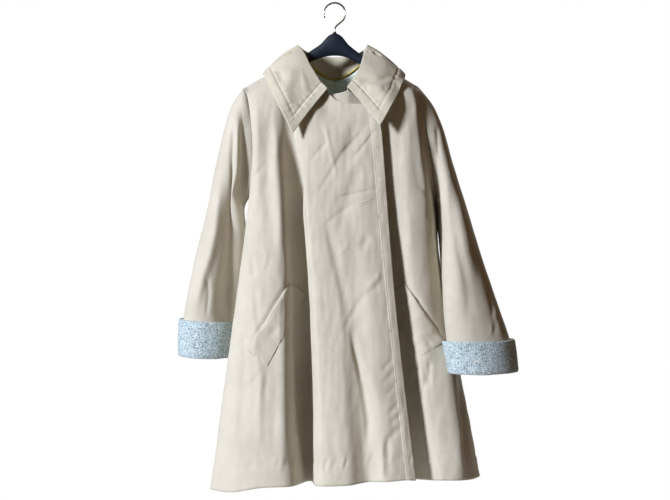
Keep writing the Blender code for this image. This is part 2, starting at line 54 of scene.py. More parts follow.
camera_data = bpy.data.cameras.new("camera")
camera_data.sensor_width = 36
camera_data.lens = camera_data.sensor_width * CAMERA_DISTANCE / (FRAME_PIXELS * PIXEL_MM * MM)
camera_data.clip_start = 0.05
camera = bpy.data.objects.new("camera", camera_data)
camera.location = (0.0005, -CAMERA_DISTANCE, CAMERA_HEIGHT)
camera.rotation_euler = (math.radians(90), 0, 0)
bpy.context.scene.collection.objects.link(camera)
bpy.context.scene.camera = camera
bpy.context.scene.view_settings.view_transform = "Standard"


def linear(code):
    """An sRGB hex colour as linear red, green, blue and alpha."""
    parts = [int(code[i:i + 2], 16) / 255 for i in (1, 3, 5)]
    return [p / 12.92 if p <= 0.04045 else ((p + 0.055) / 1.055) ** 2.4 for p in parts] + [1]


def add(tree, kind, inputs=None, **settings):
    """Add a node with its settings. An input is a value, or the socket that feeds it."""
    made = tree.nodes.new(kind)
    for name, value in settings.items():
        setattr(made, name, value)
    for name, value in (inputs or {}).items():
        if isinstance(value, bpy.types.NodeSocket):
            tree.links.new(value, made.inputs[name])
        else:
            made.inputs[name].default_value = value
    return made


def new_paint(name, values):
    """A material with uniform values on its shader's sockets. Gives the material, tree and shader."""
    made = bpy.data.materials.new(name)
    made.use_nodes = True
    shader = made.node_tree.nodes["Principled BSDF"]
    for socket, value in values.items():
        shader.inputs[socket].default_value = value
    return made, made.node_tree, shader


def soft_light(name, place, aim, size, watts, colour):
    """A square lamp that faces a point."""
    lamp = bpy.data.lights.new(name, "AREA")
    lamp.size = size
    lamp.energy = watts
    lamp.color = linear(colour)[:3]
    made = bpy.data.objects.new(name, lamp)
    made.location = place
    made.rotation_euler = (Vector(aim) - Vector(place)).to_track_quat("-Z", "Y").to_euler()
    bpy.context.scene.collection.objects.link(made)


soft_light("window_light", (-4.6, -3.7, 1.3), (0, 0, -0.5), 1.1, 610, "#e9eefa")
soft_light("high_light", (-0.8, -2.5, 1.9), (0, 0, -0.4), 1.6, 4, "#f6f6f4")
soft_light("room_light", (1.9, -2.6, 0.0), (0, 0, -0.7), 1.6, 5, "#ffdfb4")
soft_light("back_light", (1.2, 3.0, 0.6), (0, 0, -0.6), 2.0, 90, "#f6f3ee")

world = bpy.data.worlds.new("white_room")
world.use_nodes = True
bpy.context.scene.world = world
world_tree = world.node_tree
world_tree.nodes.clear()
seen = add(world_tree, "ShaderNodeBackground", {"Color": linear("#ffffff"), "Strength": 1.0})
ambient = add(world_tree, "ShaderNodeBackground", {"Color": linear("#d98f45"), "Strength": 0.05})
ray = add(world_tree, "ShaderNodeLightPath")
either = add(world_tree, "ShaderNodeMixShader", {0: ray.outputs["Is Camera Ray"], 1: ambient.outputs[0],
                                                 2: seen.outputs[0]})
add(world_tree, "ShaderNodeOutputWorld", {"Surface": either.outputs[0]})

floor_paint, _, _ = new_paint("matte_floor_paint", {"Base Color": linear("#e9e7e2"), "Roughness": 0.9})
floor_mesh = bpy.data.meshes.new("floor")
bm = bmesh.new()
bmesh.ops.create_circle(bm, cap_ends=True, segments=96, radius=FLOOR_RADIUS,
                        matrix=Matrix.Translation((0, 0, FLOOR_HEIGHT)))
bm.to_mesh(floor_mesh)
bm.free()
floor_mesh.materials.append(floor_paint)
floor = bpy.data.objects.new("floor", floor_mesh)
bpy.context.scene.collection.objects.link(floor)

# Right front. One panel of stone-coloured cotton gabardine, backed with mint tweed. It hangs from
# the shoulder seam in two big folds with a deep valley between them, and laps over the left
# front. Lines run across the panel, from the side seam to the free edge.
CLOTH_MM = 2.2
SEAM_GAP_MM = 0.15          # each side of a seam
HEM_MM = 47                 # depth of the turned-up hem
ROWS = (2, 3, 5, 4, 6)      # levels: top, cap, yoke, chest, hip, hem
ARM_ROWS = 10
FINE_U = 6                  # cells of the visible cloth to a cell of the solid, across
FINE_V = 12                 # and down
SHOULDER_REACH = 50         # a line starting this far before or behind the shoulder isn't rounded
SHOULDER_ROUND = 0.207      # bulge of a quarter circle beside its chord
CREASE_DEPTH = 1.5          # how much deeper the cloth folds than the drawn heights
CREASE_ENDS = 0.3           # share of a crease over which it fades in and out
SEAM_SINK = 1.1             # a seam lies this deep in the cloth
SEAM_WIDTH = 2.6
HEM_STEP = 0.6              # the hem's double cloth stands out

ARMHOLE = {
    "right": dict(top=(-206, 0, -190), pit=(-192, 8, -434), bow=16, front=54, back=58),
    "left": dict(top=(186, 0, -185), pit=(229, 8, -450), bow=-2, front=54, back=58),
}
PRESS = dict(from_x=185, over_x=45, z=-560, reach=62, depth=4)   # the left sleeve presses the side in

RIGHT_FRONT = [
    # line, then its points at the top, yoke, chest, hip and hem
    ("side seam", (-206, 0, -190), (-185, -52, -300), (-192, 8, -434),
     (-201, 12, -685), (-238, 30, -1090)),
    ("edge ridge", (-198, 0, -185.4), (-176, -62, -300), (-188, -48, -437),
     (-220, -52, -685), (-272, -62, -1076)),
    ("flank", (-186, 0, -178.6), (-164, -68, -300), (-174, -70, -437),
     (-198, -90, -685), (-222, -114, -1071)),
    ("side ridge", (-164, 0, -166), (-144, -72, -300), (-144, -84, -437),
     (-155, -112, -685), (-153, -138, -1056)),
    ("ridge shoulder", (-140, 0, -152.4), (-119, -73, -300), (-109, -86, -437),
     (-106, -112, -685), (-95, -135, -1054)),
    ("valley", (-116, 0, -138.7), (-95, -65, -300), (-82, -63, -437),
     (-63, -64, -685), (-53, -68, -1059)),
    ("centre ridge", (-98, 0, -128.4), (-82, -70, -300), (-75, -77, -437),
     (-54, -88, -685), (-41, -106, -1058)),
    ("neck point", (-78, 0, -117), (-66, -77, -300), (-62, -88, -437),
     (-42, -108, -685), (-27, -132, -1054)),
    ("neck turn", (-76.5, -9, -118.5), (-56, -80, -300), (-50, -91, -437),
     (-32, -112, -685), (-16, -137, -1053)),
    ("neck side", (-68, -20, -129), (-44, -82, -300), (-36, -93, -437),
     (-20, -114, -685), (-2, -140, -1052)),
    ("middle", (-40, -46, -174), (-14, -84, -300), (-4, -95, -437),
     (10, -116, -685), (30, -142, -1050)),
    ("crease", (4, -68, -227), (22, -84, -300), (33, -96, -437),
     (42, -112, -685), (71, -122, -1047)),
    ("second crown", (44, -75, -236), (52, -85, -300), (65, -97, -437),
     (79, -120, -685), (108, -144, -1042)),
    ("band line", (71, -77, -238), (79, -84, -300), (90, -95, -437),
     (113, -117, -685), (151, -142, -1039)),
    ("free edge", (94, -78, -240), (102, -83, -300), (112, -92, -437),
     (131, -112, -685), (171, -136, -1041)),
]

# Creases, seen from the front: path as x and z, reach to the left and right of it, height
RIGHT_FRONT_CREASES = [
    ("valley between the folds",
     [(-99, -160), (-93, -300), (-78, -437), (-64, -685), (-54, -1150)], 24, 8, -16),
    ("fine ridge below the neck", [(-27, -259), (-10, -332), (7, -411)], 6, 4, 1.2),
    ("wide fold from the lap", [(56, -259), (33, -323), (13, -392)], 20, 22, -2.4),
    ("ridge beside it", [(45, -251), (22, -311), (3, -358)], 18, 16, 1.4),
    ("second fold from the lap", [(58, -349), (41, -392), (26, -435), (11, -521)], 16, 20, -2.2),
    ("ridge beside the second", [(48, -353), (26, -405), (7, -456)], 14, 12, 1.2),
    ("long fold, upper part",
     [(-21, -478), (-14, -512), (-2, -563), (13, -623), (24, -692), (33, -722)], 8, 14, -2.4),
    ("long fold, lower part", [(30, -705), (45, -778), (58, -838), (69, -915), (71, -988)], 5, 9, -4.5),
    ("ridge right of the long fold", [(37, -726), (58, -786), (84, -842), (95, -881)], 9, 12, 2),
    ("small cross fold", [(7, -566), (33, -538)], 4, 4, 0.8),
    ("soft dip by the buttonhole", [(75, -521), (54, -555)], 8, 8, -1.6),
    ("thin line 1", [(93, -288), (32, -365)], 3, 6, -1.0),
    ("thin line 2", [(77, -277), (16, -343), (-45, -446)], 3.5, 8, -1.0),
    ("thin line 3", [(-29, -288), (-18, -321), (-57, -365)], 4, 5, -0.9),
    ("thin line 4", [(93, -422), (15, -438), (-1, -452)], 3, 4, -1.1),
    ("thin line 5", [(54, -443), (10, -474), (-34, -510)], 3, 5, -1.0),
    ("thin line 6", [(110, -610), (54, -659), (10, -741)], 4, 7, -1.0),
    ("thin line 7", [(-145, -354), (-173, -397), (-184, -485)], 4, 6, -1.2),
    ("thin line 8", [(-184, -528), (-145, -561), (-156, -610)], 4, 5, 0.9),
    ("pull below the pocket", [(-145, -802), (-190, -850), (-184, -905)], 3.5, 5, -1.5),
    ("second pull below the pocket", [(-142, -802), (-150, -850), (-147, -880)], 3.5, 5, -1.5),
    ("pull at the pocket height", [(99, -602), (71, -636)], 5, 6, 1.6),
    ("pull 1", [(125, -784), (99, -810)], 3.5, 4, -1.5),
    ("pull 2", [(127, -812), (99, -836)], 3.5, 4, -1.4),
    ("pull 3", [(133, -838), (105, -863)], 3.5, 4, -1.3),
    ("pull 4", [(140, -876), (110, -902)], 3.5, 4, -1.6),
    ("pull 5", [(144, -900), (114, -923)], 3.5, 4, -1.5),
    ("pull 6", [(148, -921), (112, -953), (105, -992)], 6, 7, -2),
    ("hem dip 1", [(112, -945), (114, -1031)], 5, 6, -1.7),
    ("hem dip 2", [(78, -979), (95, -1039)], 6, 6, -1.7),
    ("hem ridge", [(99, -962), (103, -1043)], 4, 4, 2.0),
    ("side dip", [(-199, -683), (-194, -786), (-199, -876), (-203, -953), (-222, -992)], 9, 12, -2.6),
    ("side line", [(-177, -628), (-167, -679), (-162, -735)], 6, 7, -1.6),
    ("side ridge", [(-171, -671), (-164, -786), (-156, -833), (-160, -902), (-154, -979)], 8, 8, 2.5),
    ("ridge at the valley", [(-111, -679), (-109, -851), (-109, -1043)], 12, 9, 4),
    ("shoulder dip", [(-147, -229), (-149, -328), (-147, -426), (-139, -495), (-137, -572)], 10, 12, -2.8),
    ("shoulder ridge", [(-167, -216), (-169, -336), (-171, -486)], 9, 9, 2.5),
    ("collar ridge", [(-126, -259), (-126, -358), (-119, -465), (-115, -593)], 9, 9, 3),
    ("dip over the pocket", [(-182, -559), (-173, -619)], 6, 6, -2.5),
    ("pocket mouth", [(-97, -618), (-190, -770)], 2.5, 4, -2.6),
    ("welt seam", [(-60, -650), (-145, -810)], 3, 3, -1.2),
    ("pocket wrinkle 1", [(-156, -718), (-128, -688)], 4, 4, -1.6),
    ("pocket wrinkle 2", [(-143, -743), (-119, -718)], 4, 4, -1.6),
    ("pocket wrinkle 3", [(-147, -773), (-124, -743)], 4, 4, -1.4),
]


def spline(points, steps):
    """Smooth line through points, or smooth surface through lines of points."""
    p = np.asarray(points, float)
    h = np.sqrt(np.linalg.norm(np.diff(p, axis=0), axis=-1, keepdims=True)) + 1e-6
    chord = np.diff(p, axis=0) / h
    inner = (chord[:-1] * h[1:] + chord[1:] * h[:-1]) / (h[:-1] + h[1:])
    tangent = np.concatenate([chord[:1], inner, chord[-1:]])
    out = []
    for i, count in enumerate(steps):
        for t in np.arange(count) / count:
            start = (2 * t**3 - 3 * t**2 + 1) * p[i] + (t**3 - 2 * t**2 + t) * h[i] * tangent[i]
            end = (3 * t**2 - 2 * t**3) * p[i + 1] + (t**3 - t**2) * h[i] * tangent[i + 1]
            out.append(start + end)
    out.append(p[-1])
    return np.array(out)


def unit(v):
    return v / np.maximum(np.linalg.norm(v, axis=-1, keepdims=True), 1e-9)


def normals(grid, towards, wrap=False):
    """Normals of a grid of points, turned to agree with one direction at each point."""
    along = np.roll(grid, -1, 0) - np.roll(grid, 1, 0) if wrap else np.gradient(grid, axis=0)
    n = unit(np.cross(along, np.gradient(grid, axis=1)))
    return -n if np.mean(np.sign(np.sum(n * towards, axis=-1))) < 0 else n


def smooth(t):
    t = np.clip(t, 0, 1)
    return t * t * (3 - 2 * t)


def lengths(grid, axis):
    """Arc length from the first line of a grid to each of its points, along one axis."""
    step = np.linalg.norm(np.diff(grid, axis=axis), axis=-1)
    zero = np.zeros_like(np.take(step, [0], axis))
    return np.cumsum(np.concatenate([zero, step], axis), axis)


def crease_heights(grid, facing, creases):
    """Soft troughs and ridges along drawn paths, where the cloth faces the side they are drawn on."""
    x, z = grid[..., 0], grid[..., 2]
    total = np.zeros(x.shape)
    for _, path, left, right, height in creases:
        path = np.array(path, float)
        whole = np.linalg.norm(np.diff(path, axis=0), axis=1).sum()
        nearest = np.full(x.shape, 1e9)
        profile = np.zeros(x.shape)
        before = 0.0
        for a, b in zip(path, path[1:]):
            length = np.linalg.norm(b - a)
            way = (b - a) / length
            t = np.clip((x - a[0]) * way[0] + (z - a[1]) * way[1], 0, length)
            dx, dz = x - a[0] - t * way[0], z - a[1] - t * way[1]
            far = np.hypot(dx, dz)
            reach = np.where(dx * -way[1] + dz * way[0] > 0, right, left)
            from_start, to_end = (before + t) / whole, (whole - before - t) / whole
            taper = smooth(from_start / CREASE_ENDS) * smooth(to_end / CREASE_ENDS)
            closer = far < nearest
            profile = np.where(closer, np.exp(-(far / reach) ** 2) * taper, profile)
            nearest = np.minimum(far, nearest)
            before += length
        total += CREASE_DEPTH * height * profile
    return total * smooth(facing * 1.6)


def unevenness(grid, size, seed):
    """Smooth random heights between -1 and 1, with waves of the given size along each axis."""
    shift = Vector((seed * 7.31, seed * 3.17, 0))
    flat = (grid / np.array(size, float)).reshape(-1, 3)
    return np.array([noise.noise(Vector(p) + shift) for p in flat]).reshape(grid.shape[:-1])


def pucker(along, away, pitch, reach, seed):
    """Short waves that a line of stitches draws up, dying away on both sides of the line."""
    flat = along.ravel() / pitch
    wave = np.array([noise.noise(Vector((a, seed * 5.7, 0))) for a in flat]).reshape(along.shape)
    return 1.6 * wave * np.exp(-(away / reach) ** 2)


def armhole(side, face, count=ARM_ROWS * FINE_V):
    """Half the armhole, from the shoulder point to the armpit, over the front or the back."""
    a = ARMHOLE[side]
    t = np.arange(count + 1) / count * math.pi
    top, pit = np.array(a["top"], float), np.array(a["pit"], float)
    line = top + (pit - top) * ((1 - np.cos(t)) / 2)[:, None]
    line[:, 0] += a["bow"] * np.sin(t)
    line[:, 1] += np.sin(t) * (-a["front"] if face == "front" else a["back"])
    return line


def column_steps(table):
    return [FINE_U * (1 if row[0] in ("neck turn", "neck side") else 2) for row in table[1:]]


def panel_points(table, side, face):
    """Grid of a panel's outer points: lines from the side seam across, rows from top to hem."""
    rows = [FINE_V * count for count in ROWS]
    lines = []
    for _, top, yoke, chest, hip, hem in table:
        top, yoke = np.array(top, float), np.array(yoke, float)
        # a line that starts on the shoulder seam leaves it level
        level = max(0.0, 1 - abs(top[1]) / SHOULDER_REACH)
        cap = (top + yoke) / 2
        cap[1:] += (yoke - top)[1:] * np.array([SHOULDER_ROUND, -SHOULDER_ROUND]) * level
        lines.append(spline([top, cap, yoke, chest, hip, hem], rows))
    lines[0][:ARM_ROWS * FINE_V + 1] = armhole(side, face)
    lines[0][ARM_ROWS * FINE_V:] = spline([lines[0][ARM_ROWS * FINE_V], table[0][4], table[0][5]], rows[3:])
    grid = spline(lines, column_steps(table))
    seam = column_of(table, "neck point")
    part_way = (grid[:seam + 1, 0, 0] - grid[0, 0, 0]) / (grid[seam, 0, 0] - grid[0, 0, 0])
    grid[:seam + 1, 0] = grid[0, 0] + np.outer(part_way, grid[seam, 0] - grid[0, 0])
    if side == "left":
        near_side = np.clip((grid[..., 0] - PRESS["from_x"]) / PRESS["over_x"], 0, 1)
        beside_sleeve = np.exp(-((grid[..., 2] - PRESS["z"]) / PRESS["reach"]) ** 2)
        grid[..., 0] -= PRESS["depth"] * near_side * beside_sleeve
    return grid


def column_of(table, line):
    return sum(column_steps(table)[:[row[0] for row in table].index(line)])


def panel_cloth(table, side, face, creases, seed):
    """A panel's points with its creases, sunk seams and puckered hem."""
    grid = panel_points(table, side, face)
    front = -1 if face == "front" else 1
    n = normals(grid, (0, front, 0.2))
    if face == "back":
        n[-1] = unit(n[-1] * np.array([0, 1, 1]))
    seam = column_of(table, "neck point")
    from_side = lengths(grid, 0)
    from_top = lengths(grid, 1)
    to_hem = from_top[:, -1:] - from_top
    last = from_side[-1:] - from_side if face == "back" else np.full(from_side.shape, 1e3)
    on_shoulder = np.arange(len(grid)) <= seam
    to_shoulder = np.where(on_shoulder[:, None], from_top, 1e3)
    to_seam = np.minimum(np.minimum(from_side, last), to_shoulder)
    rise = crease_heights(grid, n[..., 1] * front, creases)
    rise += 1.5 * unevenness(grid, (45, 60, 190), seed) + 0.8 * unevenness(grid, (11, 26, 38), seed + 1)
    rise += 1.3 * pucker(from_side, to_hem - HEM_MM, 7, 13, seed + 2)
    rise += 0.7 * pucker(from_side, to_hem - 2, 8, 12, seed + 4)
    rise += HEM_STEP * smooth((HEM_MM - to_hem) / 3) - 0.7 * np.exp(-((to_hem - HEM_MM - 1) / 2.5) ** 2)
    rise *= smooth(to_seam / 14)
    rise += 0.35 * pucker(from_top, np.minimum(from_side, last), 6, 7, seed + 3)
    rise -= SEAM_SINK * np.exp(-(to_seam / SEAM_WIDTH) ** 2)
    if side == "left" or face == "back":
        # nothing swells against the collar's seam
        rise[:, :3] = np.minimum(rise[:, :3], 0)
    grid = grid + n * rise[..., None]
    grid[0, :, 1] += front * SEAM_GAP_MM
    grid[:seam + 1, 0, 1] += front * SEAM_GAP_MM
    return grid


def surface_mesh(grid, around=False, towards=None):
    """A mesh of square cells through a grid of points in millimetres, with its size in metres as UV.

    create_grid numbers its corners along the first side of the grid, then row by row.
    """
    if around:
        grid = np.concatenate([grid, grid[:1]])
    if towards is not None:
        n = np.cross(np.gradient(grid, axis=0), np.gradient(grid, axis=1))
        if np.sum(n * towards) < 0:
            grid = grid[::-1]
    nu, nv = grid.shape[:2]
    u, v = lengths(grid, 0), lengths(grid, 1)
    u = (u - u[nu // 2]) * MM
    v *= MM
    bm = bmesh.new()
    uv_map = bm.loops.layers.uv.new("UVMap")
    bmesh.ops.create_grid(bm, x_segments=nu - 1, y_segments=nv - 1, size=0.5)
    bm.verts.ensure_lookup_table()
    for face in bm.faces:
        for loop in face.loops:
            j, i = divmod(loop.vert.index, nu)
            loop[uv_map].uv = (u[i, j], v[i, j])
        face.smooth = True
    for vert in bm.verts:
        j, i = divmod(vert.index, nu)
        vert.co = Vector(grid[i, j]) * MM
    if around:
        bmesh.ops.remove_doubles(bm, verts=bm.verts, dist=1e-6)
    return bm


def piece(name, bm, paints, nodes=(), wall=0):
    """Put a mesh in the scene as a piece that rides on the coat. A sheet is given its wall's
    thickness inwards, in millimetres; the wall's inner face takes the second paint, if any."""
    mesh = bpy.data.meshes.new(name)
    bm.to_mesh(mesh)
    bm.free()
    for paint in paints:
        mesh.materials.append(paint)
    made = bpy.data.objects.new(name, mesh)
    bpy.context.scene.collection.objects.link(made)
    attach(made, "root")
    if nodes:
        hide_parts(*nodes)
    if wall:
        solid = made.modifiers.new("thickness", "SOLIDIFY")
        solid.thickness = wall * MM
        solid.offset = -1
        solid.material_offset = len(paints) - 1
    return made


def gabardine_paint(name, light, dark, seed):
    """Cotton gabardine: a matte close twill that scatters light softly, with a little fluff at
    grazing angles, small rumples and faint uneven tone from washing. Its ribs are 0.5 mm apart on
    the real cloth and are drawn 1.1 mm apart, to show in a close view. A wave texture of scale 1
    has 20 radians to a metre."""
    rib_mm = 1.1
    cloud_mm, rumple_mm, slub_mm = 85, 16, 4.0
    paint, tree, shader = new_paint(name, {"Roughness": 0.88, "Specular IOR Level": 0.25,
                                           "Sheen Weight": 0.12, "Sheen Roughness": 0.6})
    place = add(tree, "ShaderNodeTexCoord")
    cloud = add(tree, "ShaderNodeTexNoise", {"Vector": place.outputs["Object"], "Scale": 1000 / cloud_mm,
                                             "Detail": 6.0, "Roughness": 0.72}, noise_dimensions="4D")
    cloud.inputs["W"].default_value = seed
    tone = add(tree, "ShaderNodeValToRGB", {"Fac": cloud.outputs["Fac"]})
    tone.color_ramp.elements[0].position = 0.3
    tone.color_ramp.elements[0].color = linear(dark)
    tone.color_ramp.elements[1].position = 0.7
    tone.color_ramp.elements[1].color = linear(light)
    tree.links.new(tone.outputs["Color"], shader.inputs["Base Color"])
    turned = add(tree, "ShaderNodeMapping", {"Vector": place.outputs["UV"],
                                             "Rotation": (0, 0, math.radians(27))})
    ribs = add(tree, "ShaderNodeTexWave", {"Vector": turned.outputs["Vector"], "Distortion": 1.2,
                                           "Scale": 1000 / rib_mm / 20 * math.tau,
                                           "Detail": 2.0, "Detail Scale": 2.0},
               wave_type="BANDS", bands_direction="X")
    slubs = add(tree, "ShaderNodeTexNoise", {"Vector": place.outputs["UV"], "Scale": 1000 / slub_mm,
                                             "Detail": 4.0, "Roughness": 0.65})
    both = add(tree, "ShaderNodeMath", {0: ribs.outputs["Fac"], 1: slubs.outputs["Fac"]},
               operation="ADD")
    rumple = add(tree, "ShaderNodeTexNoise", {"Vector": place.outputs["Object"], "Scale": 1000 / rumple_mm,
                                              "Detail": 3.0, "Roughness": 0.55})
    soft = add(tree, "ShaderNodeBump", {"Height": rumple.outputs["Fac"], "Strength": 0.5,
                                        "Distance": 1.6 * MM})
    bump = add(tree, "ShaderNodeBump", {"Height": both.outputs[0], "Normal": soft.outputs["Normal"],
                                        "Strength": 0.35, "Distance": 0.4 * MM})
    tree.links.new(bump.outputs["Normal"], shader.inputs["Normal"])
    return paint


FUZZ_MM = 0.8               # loose fibres of the tweed


def tweed_paint(name, flecks, mm, seed):
    """Woollen tweed: fuzzy yarn of many blended colours, so it is quite matte, with nubs that
    catch the light. flecks are (share, colour) and mm is the width of one nub."""
    paint, tree, shader = new_paint(name, {"Roughness": 0.95, "Specular IOR Level": 0.15,
                                           "Sheen Weight": 0.3, "Sheen Roughness": 0.5})
    place = add(tree, "ShaderNodeTexCoord")
    wander = add(tree, "ShaderNodeTexNoise", {"Vector": place.outputs["UV"], "Detail": 2.0,
                                              "Scale": 1000 / mm / 1.5})
    pushed = add(tree, "ShaderNodeVectorMath", {0: wander.outputs["Color"], 1: (mm * MM * 0.35,) * 3},
                 operation="MULTIPLY")
    moved = add(tree, "ShaderNodeVectorMath", {0: place.outputs["UV"], 1: pushed.outputs[0]},
                operation="ADD")
    nubs = add(tree, "ShaderNodeTexVoronoi", {"Vector": moved.outputs[0], "Scale": 1000 / mm, "W": seed},
               voronoi_dimensions="4D")
    pick = add(tree, "ShaderNodeSeparateColor", {"Color": nubs.outputs["Color"]})
    ramp = add(tree, "ShaderNodeValToRGB", {"Fac": pick.outputs[0]})
    ramp.color_ramp.interpolation = "CONSTANT"
    stops = ramp.color_ramp.elements
    start = 0.0
    for k, (share, colour) in enumerate(flecks):
        stop = stops[k] if k < 2 else stops.new(start)
        stop.position = start
        stop.color = linear(colour)
        start += share
    tree.links.new(ramp.outputs["Color"], shader.inputs["Base Color"])
    fuzz = add(tree, "ShaderNodeTexNoise", {"Vector": place.outputs["UV"], "Detail": 3.0,
                                            "Scale": 1000 / FUZZ_MM})
    height = add(tree, "ShaderNodeMath", {0: nubs.outputs["Distance"], 1: fuzz.outputs["Fac"]},
                 operation="SUBTRACT")
    bump = add(tree, "ShaderNodeBump", {"Height": height.outputs[0], "Strength": 0.8,
                                        "Distance": FUZZ_MM * MM}, invert=True)
    tree.links.new(bump.outputs["Normal"], shader.inputs["Normal"])
    return paint


gabardine = gabardine_paint("cotton_gabardine_stone", "#d2ccbc", "#c4bdab", 1.0)
lining = tweed_paint("woven_tweed_mint_lining", [(0.5, "#e9f4ea"), (0.25, "#dcebe0"), (0.15, "#eef2e6"),
                                                 (0.1, "#b9c6b6")], 1.6, 2.0)

right_front = panel_cloth(RIGHT_FRONT, "right", "front", RIGHT_FRONT_CREASES, 3)
front_right = piece("right_front_cloth", surface_mesh(right_front, towards=(0, -1, 0)),
                    [gabardine, lining], ["front_right"], CLOTH_MM)

# Left front. The same cloth; its free edge is hidden under the right front, whose edge throws a
# deep shadow on it. Its side is pressed in by the sleeve.
LEFT_FRONT = [
    ("side seam", (186, 0, -185), (205, -52, -300), (229, 8, -450),
     (254, 14, -685), (322, 30, -1070)),
    ("edge ridge", (178, 0, -180.3), (190, -60, -300), (217, -40, -450),
     (253, -24, -685), (323, -22, -1057)),
    ("flank", (166, 0, -173.2), (180, -73, -300), (201, -76, -450),
     (231, -74, -685), (292, -92, -1049)),
    ("ridge", (143, 0, -159.7), (154, -76, -300), (163, -86, -450),
     (192, -97, -685), (239, -118, -1045)),
    ("slope", (118, 0, -144.9), (128, -72, -300), (137, -80, -450),
     (167, -88, -685), (212, -108, -1047)),
    ("shade", (94, 0, -130.8), (106, -66, -300), (114, -70, -450),
     (144, -70, -685), (189, -84, -1051)),
    ("neck point", (74, 0, -119), (88, -66, -300), (96, -68, -450),
     (126, -66, -685), (170, -78, -1051)),
    ("neck turn", (73, -9, -121), (84, -66, -300), (92, -68, -450),
     (121, -66, -685), (164, -77, -1051)),
    ("neck side", (68, -18, -130), (78, -66, -300), (86, -69, -450),
     (114, -67, -685), (156, -77, -1051)),
    ("under one", (58, -36, -157), (66, -66, -300), (74, -70, -450),
     (102, -68, -685), (142, -76, -1051)),
    ("under two", (30, -61, -203), (30, -68, -300), (31, -74, -450),
     (51, -72, -685), (81, -82, -1051)),
    ("hidden edge", (-12, -57, -214), (-22, -66, -300), (-26, -70, -450),
     (-18, -70, -685), (-8, -84, -1052)),
]
LEFT_FRONT_CREASES = [
    ("thin line", [(165, -397), (208, -441), (198, -506)], 4, 6, -1.0),
    ("pull below the pocket", [(188, -784), (196, -830), (186, -880)], 3.5, 5, -1.5),
    ("second pull below the pocket", [(186, -786), (176, -815), (168, -860)], 3.5, 5, -1.2),
    ("slope ridge", [(150, -442), (163, -594), (185, -767), (213, -1040)], 10, 12, 2.5),
    ("dip below the pocket", [(204, -784), (200, -854)], 6, 6, -2.5),
    ("pocket mouth", [(152, -618), (239, -755)], 4, 2.5, -2.6),
    ("welt seam", [(101, -656), (184, -792)], 3, 3, -1.2),
    ("pocket wrinkle 1", [(211, -719), (187, -741)], 4, 4, -1.5),
    ("pocket wrinkle 2", [(219, -737), (193, -763)], 4, 4, -1.5),
    ("outer ridge", [(238, -700), (254, -897), (263, -951), (272, -1100)], 22, 14, 8),
    ("outer dip", [(276, -824), (282, -951), (285, -1032)], 8, 8, -6),
    ("shoulder dip", [(172, -238), (176, -334), (185, -442)], 10, 10, -1.2),
    ("yoke ridge", [(159, -268), (154, -377), (163, -485)], 12, 12, 1.2),
    ("side dip", [(202, -485), (215, -594), (224, -719)], 6, 6, -2),
]
left_front = panel_cloth(LEFT_FRONT, "left", "front", LEFT_FRONT_CREASES, 11)
front_left = piece("left_front_cloth", surface_mesh(left_front, towards=(0, -1, 0)),
                   [gabardine, lining], ["front_left"], CLOTH_MM)

# Backs. Two panels of the same cloth, sewn down the middle of the back, each with one long flute
# and soft creases like those of the fronts. The photograph doesn't show them.
RIGHT_BACK = [
    ("side seam", (-206, 0, -190), (-185, 56, -300), (-192, 8, -434),
     (-201, 12, -685), (-238, 30, -1090)),
    ("flank", (-172, 0, -170.6), (-165, 63, -300), (-177, 52, -437),
     (-208, 70, -685), (-254, 98, -1082)),
    ("ridge", (-138, 0, -151.2), (-128, 68, -300), (-135, 74, -437),
     (-158, 106, -685), (-196, 138, -1076)),
    ("valley", (-106, 0, -133), (-90, 69, -300), (-92, 68, -437),
     (-100, 76, -685), (-122, 92, -1074)),
    ("neck point", (-78, 0, -117), (-64, 71, -300), (-66, 72, -437),
     (-70, 92, -685), (-82, 118, -1074)),
    ("neck turn", (-76.5, 9, -118.5), (-58, 72, -300), (-58, 73, -437),
     (-60, 95, -685), (-70, 122, -1074)),
    ("neck side", (-62, 30, -134), (-48, 73, -300), (-48, 75, -437),
     (-48, 99, -685), (-54, 128, -1074)),
    ("crown", (-34, 44, -154.5), (-32, 74, -300), (-32, 78, -437),
     (-30, 106, -685), (-26, 138, -1073)),
    ("centre back", (0, 50, -167), (0, 74, -300), (2, 74, -437), (10, 88, -685), (22, 108, -1072)),
]
LEFT_BACK = [
    ("side seam", (186, 0, -185), (205, 56, -300), (229, 8, -450),
     (254, 14, -685), (322, 30, -1070)),
    ("flank", (160, 0, -169.7), (176, 63, -300), (208, 54, -450),
     (248, 70, -685), (318, 98, -1070)),
    ("ridge", (128, 0, -150.8), (138, 68, -300), (160, 76, -450),
     (190, 106, -685), (244, 136, -1072)),
    ("valley", (100, 0, -134.3), (102, 69, -300), (112, 68, -450),
     (134, 74, -685), (166, 90, -1072)),
    ("neck point", (74, 0, -119), (72, 71, -300), (80, 74, -450),
     (98, 94, -685), (124, 120, -1073)),
    ("neck turn", (73, 9, -121), (64, 72, -300), (70, 75, -450),
     (86, 97, -685), (110, 124, -1073)),
    ("neck side", (60, 30, -136), (54, 73, -300), (58, 76, -450),
     (72, 100, -685), (94, 128, -1073)),
    ("crown", (34, 44, -155), (36, 74, -300), (40, 78, -450), (52, 104, -685), (70, 134, -1073)),
    ("centre back", (0, 50, -167), (0, 74, -300), (2, 74, -437), (10, 88, -685), (22, 108, -1072)),
]
